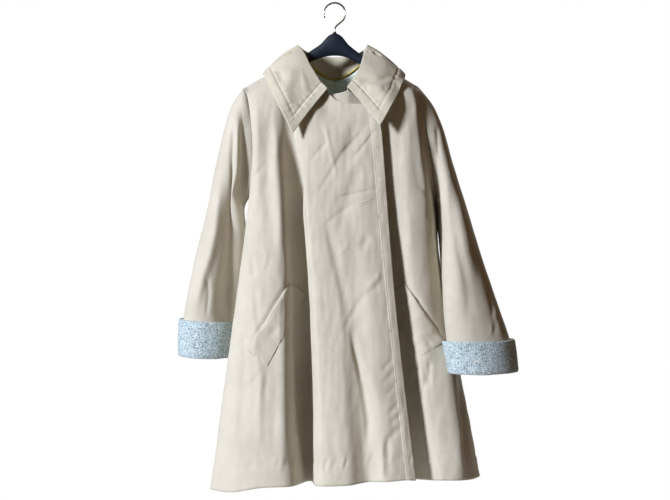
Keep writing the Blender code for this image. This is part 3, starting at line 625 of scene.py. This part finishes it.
RIGHT_BACK_CREASES = [
    ("blade dip", [(-118, -230), (-120, -330), (-124, -440)], 9, 11, -3.5),
    ("blade ridge", [(-148, -240), (-150, -380), (-160, -500)], 10, 9, 3),
    ("flute line", [(-108, -520), (-112, -680), (-124, -860), (-136, -1010)], 8, 12, -4.5),
    ("side fold", [(-190, -560), (-204, -700), (-218, -880)], 8, 8, -3.5),
    ("crown pull", [(-40, -300), (-58, -380), (-70, -450)], 9, 8, 2.2),
    ("low fold", [(-60, -800), (-64, -900), (-70, -1010)], 7, 9, -3),
]
LEFT_BACK_CREASES = [
    ("blade dip", [(112, -226), (116, -320), (126, -430)], 10, 9, -3.5),
    ("blade ridge", [(140, -250), (148, -380), (166, -520)], 9, 10, 3),
    ("flute line", [(128, -560), (140, -700), (158, -880), (170, -1020)], 11, 8, -4.5),
    ("side fold", [(228, -600), (246, -760), (268, -900)], 8, 8, -3.5),
    ("crown pull", [(44, -280), (60, -370), (74, -470)], 8, 9, 2.2),
    ("low fold", [(84, -820), (92, -920), (100, -1020)], 9, 7, -3),
]
back_grids = []
for name, node, table, side, creases, seed, flat in (
        ("right_back_cloth", "back_right", RIGHT_BACK, "right", RIGHT_BACK_CREASES, 21, (0.36, 0.96)),
        ("left_back_cloth", "back_left", LEFT_BACK, "left", LEFT_BACK_CREASES, 31, (0.44, 0.96))):
    grid = panel_cloth(table, side, "back", creases, seed)
    grid[-1, :, 0] += (-SEAM_GAP_MM if side == "right" else SEAM_GAP_MM)
    back_grids.append(grid)
    made = piece(name, surface_mesh(grid, towards=(0, 1, 0)), [gabardine, lining],
                 [node], CLOTH_MM)

# Sleeves. Wide tubes of the same cloth, sewn in without fullness, each hanging from its shoulder
# point in a few long folds. Rings run from the armhole to the end: outer edge, underarm edge,
# depth in front of and behind the middle.
SLEEVE_ROWS = (1, 2, 2, 2, 2, 2)
FINE_SLEEVE_U = 8
FINE_SLEEVE_V = 12
RIGHT_SLEEVE = [
    ("armhole", (-206, 0, -190), (-192, 8, -434), 54, 58),
    ("cap", (-233, 0, -234), (-204, 8, -458), 56, 58),
    ("biceps", (-265, 2, -358), (-199, 10, -531), 57, 54),
    ("elbow", (-291, 2, -478), (-204, 10, -606), 56, 52),
    ("forearm", (-320, 0, -599), (-214, 10, -666), 54, 50),
    ("cuff top", (-340, -2, -708), (-221, 8, -716), 52, 48),
    ("end", (-346, -4, -787), (-232, 6, -790), 53, 49),
]
LEFT_SLEEVE = [
    ("armhole", (186, 0, -185), (229, 8, -450), 54, 58),
    ("cap", (224, 0, -236), (230, 6, -476), 56, 57),
    ("biceps", (268, -10, -374), (233, -28, -556), 58, 52),
    ("elbow", (305, -32, -503), (234, -68, -624), 54, 46),
    ("forearm", (344, -56, -638), (235, -90, -690), 52, 43),
    ("cuff top", (380, -76, -748), (241, -96, -748), 50, 42),
    ("end", (392, -80, -812), (249, -98, -816), 52, 44),
]
SLEEVE_CREASES = {
    "right": ([
        ("ridge at the armhole", [(-210, -242), (-215, -352), (-215, -440), (-210, -519)], 6, 7, 4),
        ("dark cleft", [(-224, -273), (-226, -352), (-225, -440)], 6, 6, -4),
        ("wedge edge",
         [(-252, -374), (-262, -506), (-273, -563), (-289, -616), (-305, -678), (-309, -717)], 11, 8, 5),
        ("wedge hollow",
         [(-216, -340), (-216, -440), (-222, -550), (-228, -700), (-230, -780)], 36, 30, -17),
        ("fork dip", [(-284, -598), (-279, -647), (-284, -710)], 3, 6, -1.6),
        ("seam shade", [(-205, -225), (-200, -330), (-197, -440)], 8, 8, -8),
    ], [
        ("back fold", [(-224, -270), (-240, -400), (-262, -560), (-284, -690)], 8, 10, -5),
        ("back ridge", [(-244, -300), (-262, -450), (-284, -600)], 8, 8, 3),
    ]),
    "left": ([
        ("inner ridge", [(203, -245), (214, -391), (229, -579), (242, -755)], 8, 8, 2),
        ("armhole cleft", [(225, -271), (227, -311), (227, -359)], 5, 6, -2),
        ("long soft fold",
         [(255, -376), (255, -476), (268, -557), (282, -626), (288, -729)], 10, 14, -2.2),
        ("ridge beside it", [(266, -411), (282, -557), (301, -633)], 9, 11, 1.4),
        ("outer wrinkle", [(329, -620), (338, -681), (340, -746)], 6, 6, -1.3),
        ("outer streak", [(349, -672), (334, -720), (327, -746)], 5, 5, 0.8),
    ], [
        ("back fold", [(222, -280), (246, -430), (276, -580), (300, -720)], 9, 8, -5),
        ("back ridge", [(246, -300), (274, -460), (306, -620)], 8, 8, 3),
    ]),
}


def sleeve_points(table, side):
    """Grid of a sleeve's outer points: round from the top over the front, rings down the arm."""
    rows = [FINE_SLEEVE_V * count for count in SLEEVE_ROWS]
    outer = spline([row[1] for row in table], rows)
    under = spline([row[2] for row in table], rows)
    depth = spline([(row[3], row[4], 0) for row in table], rows)
    half_count = ARM_ROWS * FINE_SLEEVE_U
    angle = np.arange(2 * half_count) / half_count * math.pi
    middle, half = (outer + under) / 2, (outer - under) / 2
    grid = middle[None] + half[None] * np.cos(angle)[:, None, None]
    over_front = np.sin(angle)[:, None] > 0
    grid[..., 1] -= np.sin(angle)[:, None] * np.where(over_front, depth[None, :, 0], depth[None, :, 1])
    grid[:half_count + 1, 0] = armhole(side, "front", half_count)
    grid[half_count:, 0] = armhole(side, "back", half_count)[:0:-1]
    return grid


def tube_cloth(grid, outward):
    """Mesh of a tube of cloth whose faces point the way of its outward normals."""
    step = np.roll(grid, -1, 0) - np.roll(grid, 1, 0)
    if np.sum(np.cross(step, np.gradient(grid, axis=1)) * outward) < 0:
        grid = grid[::-1]
    return surface_mesh(grid, around=True)


sleeves = {}
for side, table, out, seed, flat in (("right", RIGHT_SLEEVE, -1, 41, (0.37, 0.61)),
                                     ("left", LEFT_SLEEVE, 1, 51, (0.38, 0.64))):
    grid = sleeve_points(table, side)
    n = normals(grid, grid - grid.mean(axis=0), wrap=True)
    in_front, behind = SLEEVE_CREASES[side]
    down = lengths(grid, 1)
    rise = crease_heights(grid, -n[..., 1], in_front) + crease_heights(grid, n[..., 1], behind)
    rise += 1.5 * unevenness(grid, (40, 60, 150), seed) + 0.5 * unevenness(grid, (14, 30, 45), seed + 1)
    rise *= smooth(down / 16) * smooth((down[:, -1:] - down - 40) / 60 + 0.15)
    rise -= SEAM_SINK * np.exp(-(down / SEAM_WIDTH) ** 2)
    grid = grid + n * rise[..., None]
    grid[:, 0, 0] += out * SEAM_GAP_MM
    sleeves[side] = (grid, n)
    made = piece("sleeve_cloth_" + side, tube_cloth(grid, n), [gabardine, lining],
                 ["sleeve_" + side], CLOTH_MM)

# Cuffs. Turned-back ends of the sleeves in flecked blue-white tweed, folded double: the cloth
# comes out of the sleeve, turns up round its end and stands off it at the rolled upper edge.
CUFF_CLOTH = 1.6
NUB_MM = 1.7
CUFF_PROFILE = [            # millimetres below the cuff's top, and off the sleeve
    (14, 5.6), (4, 5.8), (0, 7.6), (3, 9.6), (20, 9.2), (45, 8.2),
    (70, 6.8), (84, 5.4), (88, 2.4), (85, -2.6), (70, -3.6), (52, -3.6),
]
cuff_tweed = tweed_paint("wool_tweed_blue_white", [
    (0.33, "#aec6ce"), (0.25, "#c4d6da"), (0.16, "#e2eaea"),
    (0.14, "#8599a2"), (0.07, "#555b63"), (0.05, "#a89a80")], NUB_MM, 4.0)
cuff_grids = []
for side, seed, height, cut_height in (("right", 61, 0.93, 0.15), ("left", 71, 0.80, 0.132)):
    grid, n = sleeves[side]
    top_row = grid.shape[1] - 1 - SLEEVE_ROWS[-1] * FINE_SLEEVE_V
    profile = spline([(down * height, off, 0) for down, off in CUFF_PROFILE], [5] * (len(CUFF_PROFILE) - 1))
    below = lengths(grid[:, top_row:], 1)
    lines = []
    for i in range(len(grid)):
        base = np.stack([np.interp(profile[:, 0], below[i], grid[i, top_row:, k]) for k in range(3)], 1)
        past = np.maximum(profile[:, 0] - below[i, -1], 0)
        base += past[:, None] * unit(grid[i, -1] - grid[i, -3])
        lines.append(base + n[i, top_row + 6] * profile[:, 1:2])
    lines = np.array(lines)
    outward = normals(lines, lines - lines.mean(axis=0), wrap=True)
    nubs = 0.35 * unevenness(lines, 3.2, seed) + 1.2 * unevenness(lines, (30, 40, 60), seed + 1)
    lines += outward * nubs[..., None]
    cuff_grids.append(lines)
    made = piece("cuff_cloth_" + side, tube_cloth(lines, outward), [cuff_tweed], ["cuff_" + side],
                 CUFF_CLOTH)
    round_length = float(lengths(lines, 0)[-1].mean()) * MM

# Edge band. A strip of the same cloth, stitched down the free edge of the right front, with the
# small uneven puckers that its seam draws up.
BAND_CLOTH = 0.9
BAND_SEAM = 3.4             # its inner seam, from the band's inner edge
band_start = column_of(RIGHT_FRONT, "band line")
strip = right_front[band_start:]
strip_normals = normals(right_front, (0, -1, 0))[band_start:]
strip_across, strip_down = lengths(strip, 0), lengths(strip, 1)
strip_rise = 0.5 + 1.0 * smooth(strip_across / 2.5) + 1.0 * pucker(strip_down, strip_across - 3, 7, 10, 81)
strip_rise -= 1.0 * np.exp(-((strip_across - BAND_SEAM) / 1.5) ** 2)
edge_band = strip + strip_normals * strip_rise[..., None]
band = piece("front_edge_band_cloth", surface_mesh(edge_band, towards=(0, -1, 0)), [gabardine],
             ["front_edge_band"], BAND_CLOTH)

# Collar. Two layers of the same cloth that roll over the stand and lie on the shoulders, in two
# wide points, with a border band about 21 mm wide stitched all round and puckered by its seam.
COLLAR = [
    # station, neck seam, roll, outer edge, bulge
    ("right edge", (-15, -62, -211), (-15, -68, -203), (-92, -93, -305), 2),
    ("right band", (-36, -51, -188), (-33, -58, -182), (-99, -92, -289), 4),
    ("right wing", (-56, -35, -154), (-53, -42, -147), (-125, -82, -236), 8),
    ("right turn", (-70, -18, -127.5), (-71, -18, -110), (-147, -46, -188), 8),
    ("right side", (-78, 0, -117), (-82, 0, -95), (-158, 0, -158), 5),
    ("right back", (-62, 30, -134), (-63, 36, -102), (-134, 56, -190), 6),
    ("back one", (-34, 45, -154), (-34, 50, -108), (-72, 76, -206), 6),
    ("back", (0, 50.5, -166), (0, 56, -110), (0, 84, -212), 6),
    ("back two", (34, 45, -154), (34, 50, -108), (72, 76, -206), 6),
    ("left back", (60, 30, -136), (60, 36, -102), (132, 56, -192), 6),
    ("left side", (74, 0, -119), (72, 0, -94), (156, 0, -161), 5),
    ("left turn", (68.5, -17, -129.5), (64, -18, -118), (146, -50, -198), 8),
    ("left wing", (57, -36, -157), (56, -41, -149), (126, -90, -238), 8),
    ("left band", (42, -52, -188), (42, -58, -178), (110, -100, -268), 4),
    ("left edge", (28, -63, -208), (27, -68, -199), (98, -103, -289), 2),
]
COLLAR_CREASES = [
    ("dent under the left roll", [(52, -182), (92, -184), (131, -172)], 6, 8, -2.4),
    ("swell below it", [(66, -204), (110, -204)], 9, 9, 1.8),
    ("right wing swell", [(-92, -150), (-104, -208), (-98, -250)], 12, 12, 2),
    ("right wing dent", [(-128, -150), (-112, -190)], 7, 8, -1.8),
]
COLLAR_CELLS = 18           # between stations
COLLAR_DROP = 44            # cells from the roll to the outer edge
COLLAR_FREE = 3             # cells from the roll that never lie on the body
COLLAR_LAY = 3.4            # from the body's cloth to the collar's under side
COLLAR_CLOTH = 3.0
COLLAR_BEVEL = 0.4          # lost at the rounded edge
COLLAR_BAND = 21
BORDER_STEPS = 4            # search points to a cell along the border

cells = [COLLAR_CELLS] * (len(COLLAR) - 1)
roll = spline([row[2] for row in COLLAR], cells)
edge = spline([row[3] for row in COLLAR], cells)
bulge = spline([(row[4], 0, 0) for row in COLLAR], cells)[:, 0]
t = np.arange(COLLAR_DROP + 1) / COLLAR_DROP
under = roll[:, None] * (1 - t)[None, :, None] + edge[:, None] * t[None, :, None]
away = unit((roll - np.array([0, 0, roll[:, 2].mean()])) * np.array([1, 1, 0]))
lift = np.sin(np.pi * t)[None, :, None] * bulge[:, None, None]
under = under + lift * (away * 0.5 + (0, 0, 0.85))[:, None]


def skin(grids):
    """One search tree of the outer faces of several grids, each turned outward."""
    points, faces = [], []
    for grid, facing in grids:
        grid = grid[::3, ::3]
        nu, nv = grid.shape[:2]
        outward = np.cross(np.gradient(grid, axis=0), np.gradient(grid, axis=1))[..., 1]
        turned = np.mean(outward) * facing > 0
        base = len(points)
        points += [Vector(p) for p in grid.reshape(-1, 3)]
        for i in range(nu - 1):
            for j in range(nv - 1):
                a, b = base + i * nv + j, base + (i + 1) * nv + j
                faces.append((a, b, b + 1, a + 1) if turned else (a, a + 1, b + 1, b))
    return BVHTree.FromPolygons(points, faces)


body_skin = skin([(right_front, -1), (left_front, -1), (edge_band, -1), (back_grids[0], 1),
                  (back_grids[1], 1)])
for i in range(under.shape[0]):
    for j in range(COLLAR_FREE, under.shape[1]):
        near, outward, _, _ = body_skin.find_nearest(Vector(under[i, j]))
        height = (Vector(under[i, j]) - near).dot(outward)
        if height < COLLAR_LAY:
            under[i, j] = near + outward * COLLAR_LAY
for _ in range(3):
    neighbours = under[:-2, 3:-1] + under[2:, 3:-1] + under[1:-1, 2:-2] + under[1:-1, 4:]
    under[1:-1, 3:-1] += 0.35 * (neighbours / 4 - under[1:-1, 3:-1])
collar_normals = normals(under, (0, 0, 1.0))
over = under + collar_normals * COLLAR_CLOTH
border = np.concatenate([over[0], over[1:, -1], over[-1, ::-1][1:]])
steps = [border[:-1] + (border[1:] - border[:-1]) * k / BORDER_STEPS for k in range(BORDER_STEPS)]
finer = np.array(steps).transpose(1, 0, 2).reshape(-1, 3)
along_border = lengths(finer, 0)
tree = KDTree(len(finer))
for k, point in enumerate(finer):
    tree.insert(point, k)
tree.balance()
found = [tree.find(point) for point in over.reshape(-1, 3)]
inset = np.array([f[2] for f in found]).reshape(over.shape[:2])
beside = np.array([along_border[f[1]] for f in found]).reshape(over.shape[:2])
collar_rise = 0.9 * smooth((COLLAR_BAND - inset) / 2.5)
collar_rise -= 1.5 * np.exp(-((inset - COLLAR_BAND) / 2.2) ** 2)
collar_rise += 1.3 * pucker(beside, inset - COLLAR_BAND, 7, 10, 91)
collar_rise += 0.35 * pucker(beside, inset - 4, 7, 5, 92)
collar_rise += 1.8 * unevenness(over, 35, 93) * smooth(inset / 12)
collar_rise += crease_heights(over, np.where(over[..., 1] < 0, 1.0, 0.0), COLLAR_CREASES)
collar_rise -= 0.5 * np.exp(-(inset / 1.3) ** 2)
over = over + collar_normals * collar_rise[..., None]
facing_cloth = gabardine_paint("cotton_gabardine_collar", "#d3cdb9", "#c6bfa9", 5.0)
collar = piece("collar_cloth", surface_mesh(over, towards=(0, 0, 1.0)), [facing_cloth],
               ["collar", "collar_band", "collar_end_band_right", "collar_end_band_left"],
               COLLAR_CLOTH - COLLAR_BEVEL)

# Collar stand. The inner band of the collar, from the neck seam up to the roll; its cloth shows
# inside the neck, with small wrinkles where it is pulled round.
STAND_LIFT = 2.4            # clear of the panels at the neck seam
ROLL_GAP = 0.4              # under the collar's roll
STAND_CELLS = 16            # up the stand
STAND_CLOTH = 2.0
neck_seam = spline([row[1] for row in COLLAR], cells) + (0, 0, STAND_LIFT)
stand_top = under[:, 0] - collar_normals[:, 0] * ROLL_GAP
rise = (np.arange(STAND_CELLS + 1) / STAND_CELLS)[None, :, None]
stand = neck_seam[:, None] * (1 - rise) + stand_top[:, None] * rise
inward = -unit(neck_seam * np.array([1, 1, 0]))[:, None]
around = lengths(stand, 0)
bow = 0.8 * pucker(around, (rise[..., 0] - 0.45) * 60, 9, 26, 95) * np.sin(np.pi * rise[..., 0])
stand = stand + inward * bow[..., None] - inward * 0.3
stand_piece = piece("collar_stand_cloth", surface_mesh(stand, towards=inward), [facing_cloth],
                    ["collar_stand"], STAND_CLOTH)

# Neck piping. Bias-cut yellow cotton round a cord, sewn in between the stand and the lining.
PIPING_RADIUS = 1.7
PIPING_GAP = 0.5            # in from the stand
PIPING_RISE = 2.2           # above the neck seam
PIPING_END = 90             # cells of the collar left free of piping at each front
PIPING_TWIST_MM = 5.0


def tube_mesh(path, radius, sides):
    """A round bar of square cells along a path in millimetres, closed at both ends."""
    ahead = unit(np.gradient(path, axis=0))
    side = unit(np.cross(ahead, np.array([0.0, 1.0, 0.02])))
    other = np.cross(ahead, side)
    angle = np.arange(sides) / sides * math.tau
    radius = np.broadcast_to(radius, len(path))[:, None]
    ring = [path + radius * (side * math.cos(a) + other * math.sin(a)) for a in angle]
    bm = surface_mesh(np.array(ring), around=True)
    bmesh.ops.holes_fill(bm, edges=[e for e in bm.edges if e.is_boundary])
    bmesh.ops.recalc_face_normals(bm, faces=bm.faces)
    return bm


piping_cotton, piping_tree, piping_shader = new_paint("bias_cotton_yellow", {"Roughness": 0.7})
piping_place = add(piping_tree, "ShaderNodeTexCoord")
twist = add(piping_tree, "ShaderNodeTexNoise", {"Vector": piping_place.outputs["UV"],
                                                "Scale": 1000 / PIPING_TWIST_MM})
piping_tone = add(piping_tree, "ShaderNodeValToRGB", {"Fac": twist.outputs["Fac"]})
piping_tone.color_ramp.elements[0].color = linear("#b39a2a")
piping_tone.color_ramp.elements[1].color = linear("#d8c24a")
piping_tree.links.new(piping_tone.outputs["Color"], piping_shader.inputs["Base Color"])
piping_path = (neck_seam + inward[:, 0] * (PIPING_RADIUS + PIPING_GAP))[PIPING_END:-PIPING_END]
piping_path = piping_path + (0, 0, PIPING_RISE)
piece("neck_piping_cord", tube_mesh(piping_path, PIPING_RADIUS, 10), [piping_cotton],
      ["neck_piping"])

# Pocket welts and buttonhole. Double strips of the same cloth on the fronts. A welt's upper edge
# is the pocket's mouth and stands a little open; its ends and lower edge are stitched down. The
# buttonhole is bound with two narrow lips.
WELTS = {
    "right": [(-99, -626), (-187, -768), (-144, -802), (-63, -652)],
    "left": [(153, -626), (236, -752), (186, -784), (103, -658)],
}
WELT_LENGTH = 170
WELT_WIDTH = 50
WELT_CELLS = (64, 24)
WELT_CLOTH = 1.2
WELT_PITCH = 3.5            # from stitch to stitch
BUTTONHOLE = [(50, -449), (87, -435), (87, -449), (50, -462)]
HOLE_CELLS = (30, 24)
LIP_CLOTH = 0.8
BEFORE_COAT = -400          # y of the start of the search for the cloth


def patch_shares(cells):
    """Shares of a patch's length and width at its points."""
    return np.meshgrid(*[np.linspace(0, 1, count + 1) for count in cells], indexing="ij")


def laid_patch(corners, tree, cells, heights):
    """Points of a four-cornered patch laid on the front: along the first side, then across."""
    a, b, c, d = (np.array(p, float) for p in corners)
    nu, nv = cells
    out = np.zeros((nu + 1, nv + 1, 3))
    for i in range(nu + 1):
        for j in range(nv + 1):
            s, t = i / nu, j / nv
            x, z = (a * (1 - s) + b * s) * (1 - t) + (d * (1 - s) + c * s) * t
            near, outward, _, _ = tree.ray_cast(Vector((x, BEFORE_COAT, z)), Vector((0, 1, 0)))
            out[i, j] = near + outward.normalized() * heights[i, j]
    return out


front_skin = skin([(right_front, -1)])
left_skin = skin([(left_front, -1)])
threads = []
for side, tree in (("right", front_skin), ("left", left_skin)):
    s, t = patch_shares(WELT_CELLS)
    heights = 0.9 + 2.4 * smooth((0.5 - t) / 0.5) * smooth(t / 0.04 + 0.5)
    heights -= 0.5 * np.exp(-((t - 0.93) / 0.04) ** 2)
    heights += 0.9 * pucker(s * WELT_LENGTH, 20 * t, 16, 30, 98)
    heights -= 0.7 * smooth(1 - s / 0.02) + 0.7 * smooth(1 - (1 - s) / 0.02)
    heights += 0.35 * pucker(s * WELT_LENGTH, (t - 0.9) * WELT_WIDTH, 7, 12, 97)
    welt = laid_patch(WELTS[side], tree, WELT_CELLS, heights)
    made = piece("welt_cloth_" + side, surface_mesh(welt, towards=(0, -1, 0)), [gabardine],
                 ["pocket_welt_" + side], WELT_CLOTH)
    threads.append((welt[2:-2, WELT_CELLS[1] - 2], WELT_PITCH))

s, t = patch_shares(HOLE_CELLS)
lips = 1.0 - 1.3 * np.exp(-((t - 0.3) / 0.1) ** 2) - 1.3 * np.exp(-((t - 0.7) / 0.1) ** 2)
lips *= smooth(s / 0.3) * smooth((1 - s) / 0.3) * smooth(t / 0.3) * smooth((1 - t) / 0.3)
hole = laid_patch(BUTTONHOLE, front_skin, HOLE_CELLS, lips)
hole_piece = piece("buttonhole_lips", surface_mesh(hole, towards=(0, -1, 0)), [gabardine],
                   ["buttonhole_welt"], LIP_CLOTH)

# Stitches. Cotton thread in a slightly darker shade, in single rows: beside the edge band, along
# the collar's border and the lower edges of the welts. Each stitch is a small rounded bar.
STITCH_RADIUS = 0.45
STITCH_PITCH = 3.8
STITCH_INSET = 18.5         # of the collar's row, from its outer edge
STITCH_SHARE = 0.7          # of the pitch; the rest is under the cloth
thread, thread_tree, thread_shader = new_paint("mercerised_cotton_thread", {"Base Color": linear("#bfb198"),
                                                                            "Roughness": 0.55})
thread_place = add(thread_tree, "ShaderNodeTexCoord")
ply = add(thread_tree, "ShaderNodeTexWave", {"Vector": thread_place.outputs["Object"], "Scale": 400.0})
ply_bump = add(thread_tree, "ShaderNodeBump", {"Height": ply.outputs["Fac"], "Strength": 0.3,
                                               "Distance": 0.1 * MM})
thread_tree.links.new(ply_bump.outputs["Normal"], thread_shader.inputs["Normal"])

threads.append((edge_band[7, 30:-6], STITCH_PITCH))
ring = np.abs(inset - STITCH_INSET).argmin(axis=1)
threads.append((over[np.arange(len(over)), ring][24:-24], STITCH_PITCH))
bm = bmesh.new()
for path, pitch in threads:
    down = lengths(path, 0)
    for start in np.arange(2, down[-1] - pitch, pitch):
        ends = (start, start + pitch * STITCH_SHARE)
        a, b = (Vector([np.interp(end, down, path[:, k]) for k in range(3)]) for end in ends)
        middle = (a + b) / 2
        turn = (b - a).to_track_quat("Z", "Y").to_matrix().to_4x4()
        size = Matrix.Diagonal((STITCH_RADIUS, STITCH_RADIUS, (b - a).length / 2, 1))
        place = Matrix.Translation(middle * MM) @ turn @ Matrix.Scale(MM, 4) @ size
        bmesh.ops.create_uvsphere(bm, u_segments=6, v_segments=4, radius=1, matrix=place)
for face in bm.faces:
    face.smooth = True
piece("topstitching", bm, [thread])

# Hanger. A contoured plate moulded in dark navy plastic, satin from a fine spark-eroded mould,
# with a steel hook screwed into the middle of its top edge. The hook is built plainly.
HANGER = [
    # section, x, top, bottom, half its depth
    ("right end", -194, -191, -203, 5),
    ("right tip", -184, -184, -203, 7.5),
    ("right arm", -130, -152.5, -174, 7.5),
    ("right neck", -78, -123.5, -146, 5.5),
    ("right rise", -54, -106, -131, 5.5),
    ("right hub", -32, -91, -122, 6),
    ("hub side", -14, -72, -118, 6.5),
    ("hub", 0, -66, -117, 7),
    ("hub edge", 14, -72, -118, 6.5),
    ("left hub", 32, -93, -123, 6),
    ("left rise", 52, -109, -133, 5.5),
    ("left neck", 74, -125.5, -148, 5.5),
    ("left arm", 120, -152, -173, 7.5),
    ("left tip", 164, -178.5, -198, 7.5),
    ("left end", 174, -185, -198, 5),
]
GRAIN_MM = 0.6              # the mould's grain
END_ROUND = 1.5             # rounding at the arms' ends
HANGER_CELLS = 8            # between sections
hanger_plastic, plastic_tree, plastic_shader = new_paint(
    "moulded_abs_navy", {"Base Color": linear("#14202e"), "IOR": 1.53})
plastic_place = add(plastic_tree, "ShaderNodeTexCoord")
grain = add(plastic_tree, "ShaderNodeTexNoise", {"Vector": plastic_place.outputs["Object"],
                                                 "Scale": 1000 / GRAIN_MM, "Detail": 2.0})
gloss = add(plastic_tree, "ShaderNodeMapRange", {"Value": grain.outputs["Fac"], "To Min": 0.34,
                                                 "To Max": 0.48})
grain_bump = add(plastic_tree, "ShaderNodeBump", {"Height": grain.outputs["Fac"], "Strength": 0.15,
                                                  "Distance": 0.1 * MM})
plastic_tree.links.new(gloss.outputs[0], plastic_shader.inputs["Roughness"])
plastic_tree.links.new(grain_bump.outputs["Normal"], plastic_shader.inputs["Normal"])

cells = [HANGER_CELLS] * (len(HANGER) - 1)
middles = spline([(row[1], (row[2] + row[3]) / 2, 0) for row in HANGER], cells)
halves = spline([((row[2] - row[3]) / 2, row[4], 0) for row in HANGER], cells)
bm = bmesh.new()
rims = []
for (x, z, _), (half_height, half_depth, _) in zip(middles, halves):
    turn = Matrix.Translation(Vector((x, 0, z)) * MM) @ Matrix.Rotation(math.radians(90), 4, "Y")
    size = Matrix.Diagonal((half_height * MM, half_depth * MM, MM, 1))
    ring = bmesh.ops.create_circle(bm, segments=32, radius=1, matrix=turn @ size)
    rims.append([e for v in ring["verts"] for e in v.link_edges])
for one, two in zip(rims, rims[1:]):
    bmesh.ops.bridge_loops(bm, edges=list(set(one) | set(two)))
bmesh.ops.holes_fill(bm, edges=[e for e in bm.edges if e.is_boundary])
ends = [f for f in bm.faces if len(f.verts) > 4]
bmesh.ops.inset_region(bm, faces=ends, thickness=END_ROUND * MM, depth=END_ROUND * MM)
bmesh.ops.recalc_face_normals(bm, faces=bm.faces)
for face in bm.faces:
    face.smooth = True
piece("hanger_plate", bm, [hanger_plastic], ["hanger_body"])

# Hook. Nickel-plated steel wire, bent round and polished, with a small collar where it enters the
# plate and a rounded tip.
HOOK_RADIUS = 2.0
HOOK_LOOP = 24.0            # the wire's middle from the middle of the loop
HOOK_ARC = (-58, 205)       # degrees, from the neck of the hook to its tip
HUB_TOP = -66.0
WEAR_MM = 6.0
RING_FOOT = 4.6             # radii of the small collar
RING_TOP = 3.8
RING_HEIGHT = 3.2
RING_MIDDLE = HUB_TOP + 0.8
RING_ROUND = 0.5
hook_steel, steel_tree, steel_shader = new_paint("nickel_plated_steel", {"Base Color": linear("#c3bfb8"),
                                                                         "Metallic": 1.0})
steel_place = add(steel_tree, "ShaderNodeTexCoord")
wear = add(steel_tree, "ShaderNodeTexNoise", {"Vector": steel_place.outputs["Object"], "Detail": 6.0,
                                              "Scale": 1000 / WEAR_MM})
shine = add(steel_tree, "ShaderNodeMapRange", {"Value": wear.outputs["Fac"], "To Min": 0.14,
                                               "To Max": 0.32})
steel_tree.links.new(shine.outputs[0], steel_shader.inputs["Roughness"])

turn = np.radians(np.linspace(*HOOK_ARC, 120))
loop_height = HOOK_RADIUS - HOOK_LOOP
loop = [(HOOK_LOOP * math.cos(a), 0, loop_height + HOOK_LOOP * math.sin(a)) for a in turn]
shank = spline([(0, 0, HUB_TOP - 1), (0, 0, HUB_TOP + 8), (3, 0, HUB_TOP + 15), loop[0]], [10, 10, 10])
path = np.concatenate([shank[:-1], np.array(loop)])
from_tip = np.arange(len(path))[::-1]
radius = HOOK_RADIUS * np.sqrt(np.clip((from_tip + 0.6) / 4, 0, 1))
piece("hanger_hook_wire", tube_mesh(path, radius, 20), [hook_steel], ["hanger_hook"])
bm = bmesh.new()
bmesh.ops.create_cone(bm, cap_ends=True, segments=32, radius1=RING_FOOT * MM, radius2=RING_TOP * MM,
                      depth=RING_HEIGHT * MM, matrix=Matrix.Translation((0, 0, RING_MIDDLE * MM)))
bmesh.ops.bevel(bm, geom=[e for e in bm.edges if e.calc_face_angle() > 1], offset=RING_ROUND * MM,
                segments=3, profile=0.5, affect="EDGES", material=-1)
for face in bm.faces:
    face.smooth = True
piece("hook_collar", bm, [hook_steel])
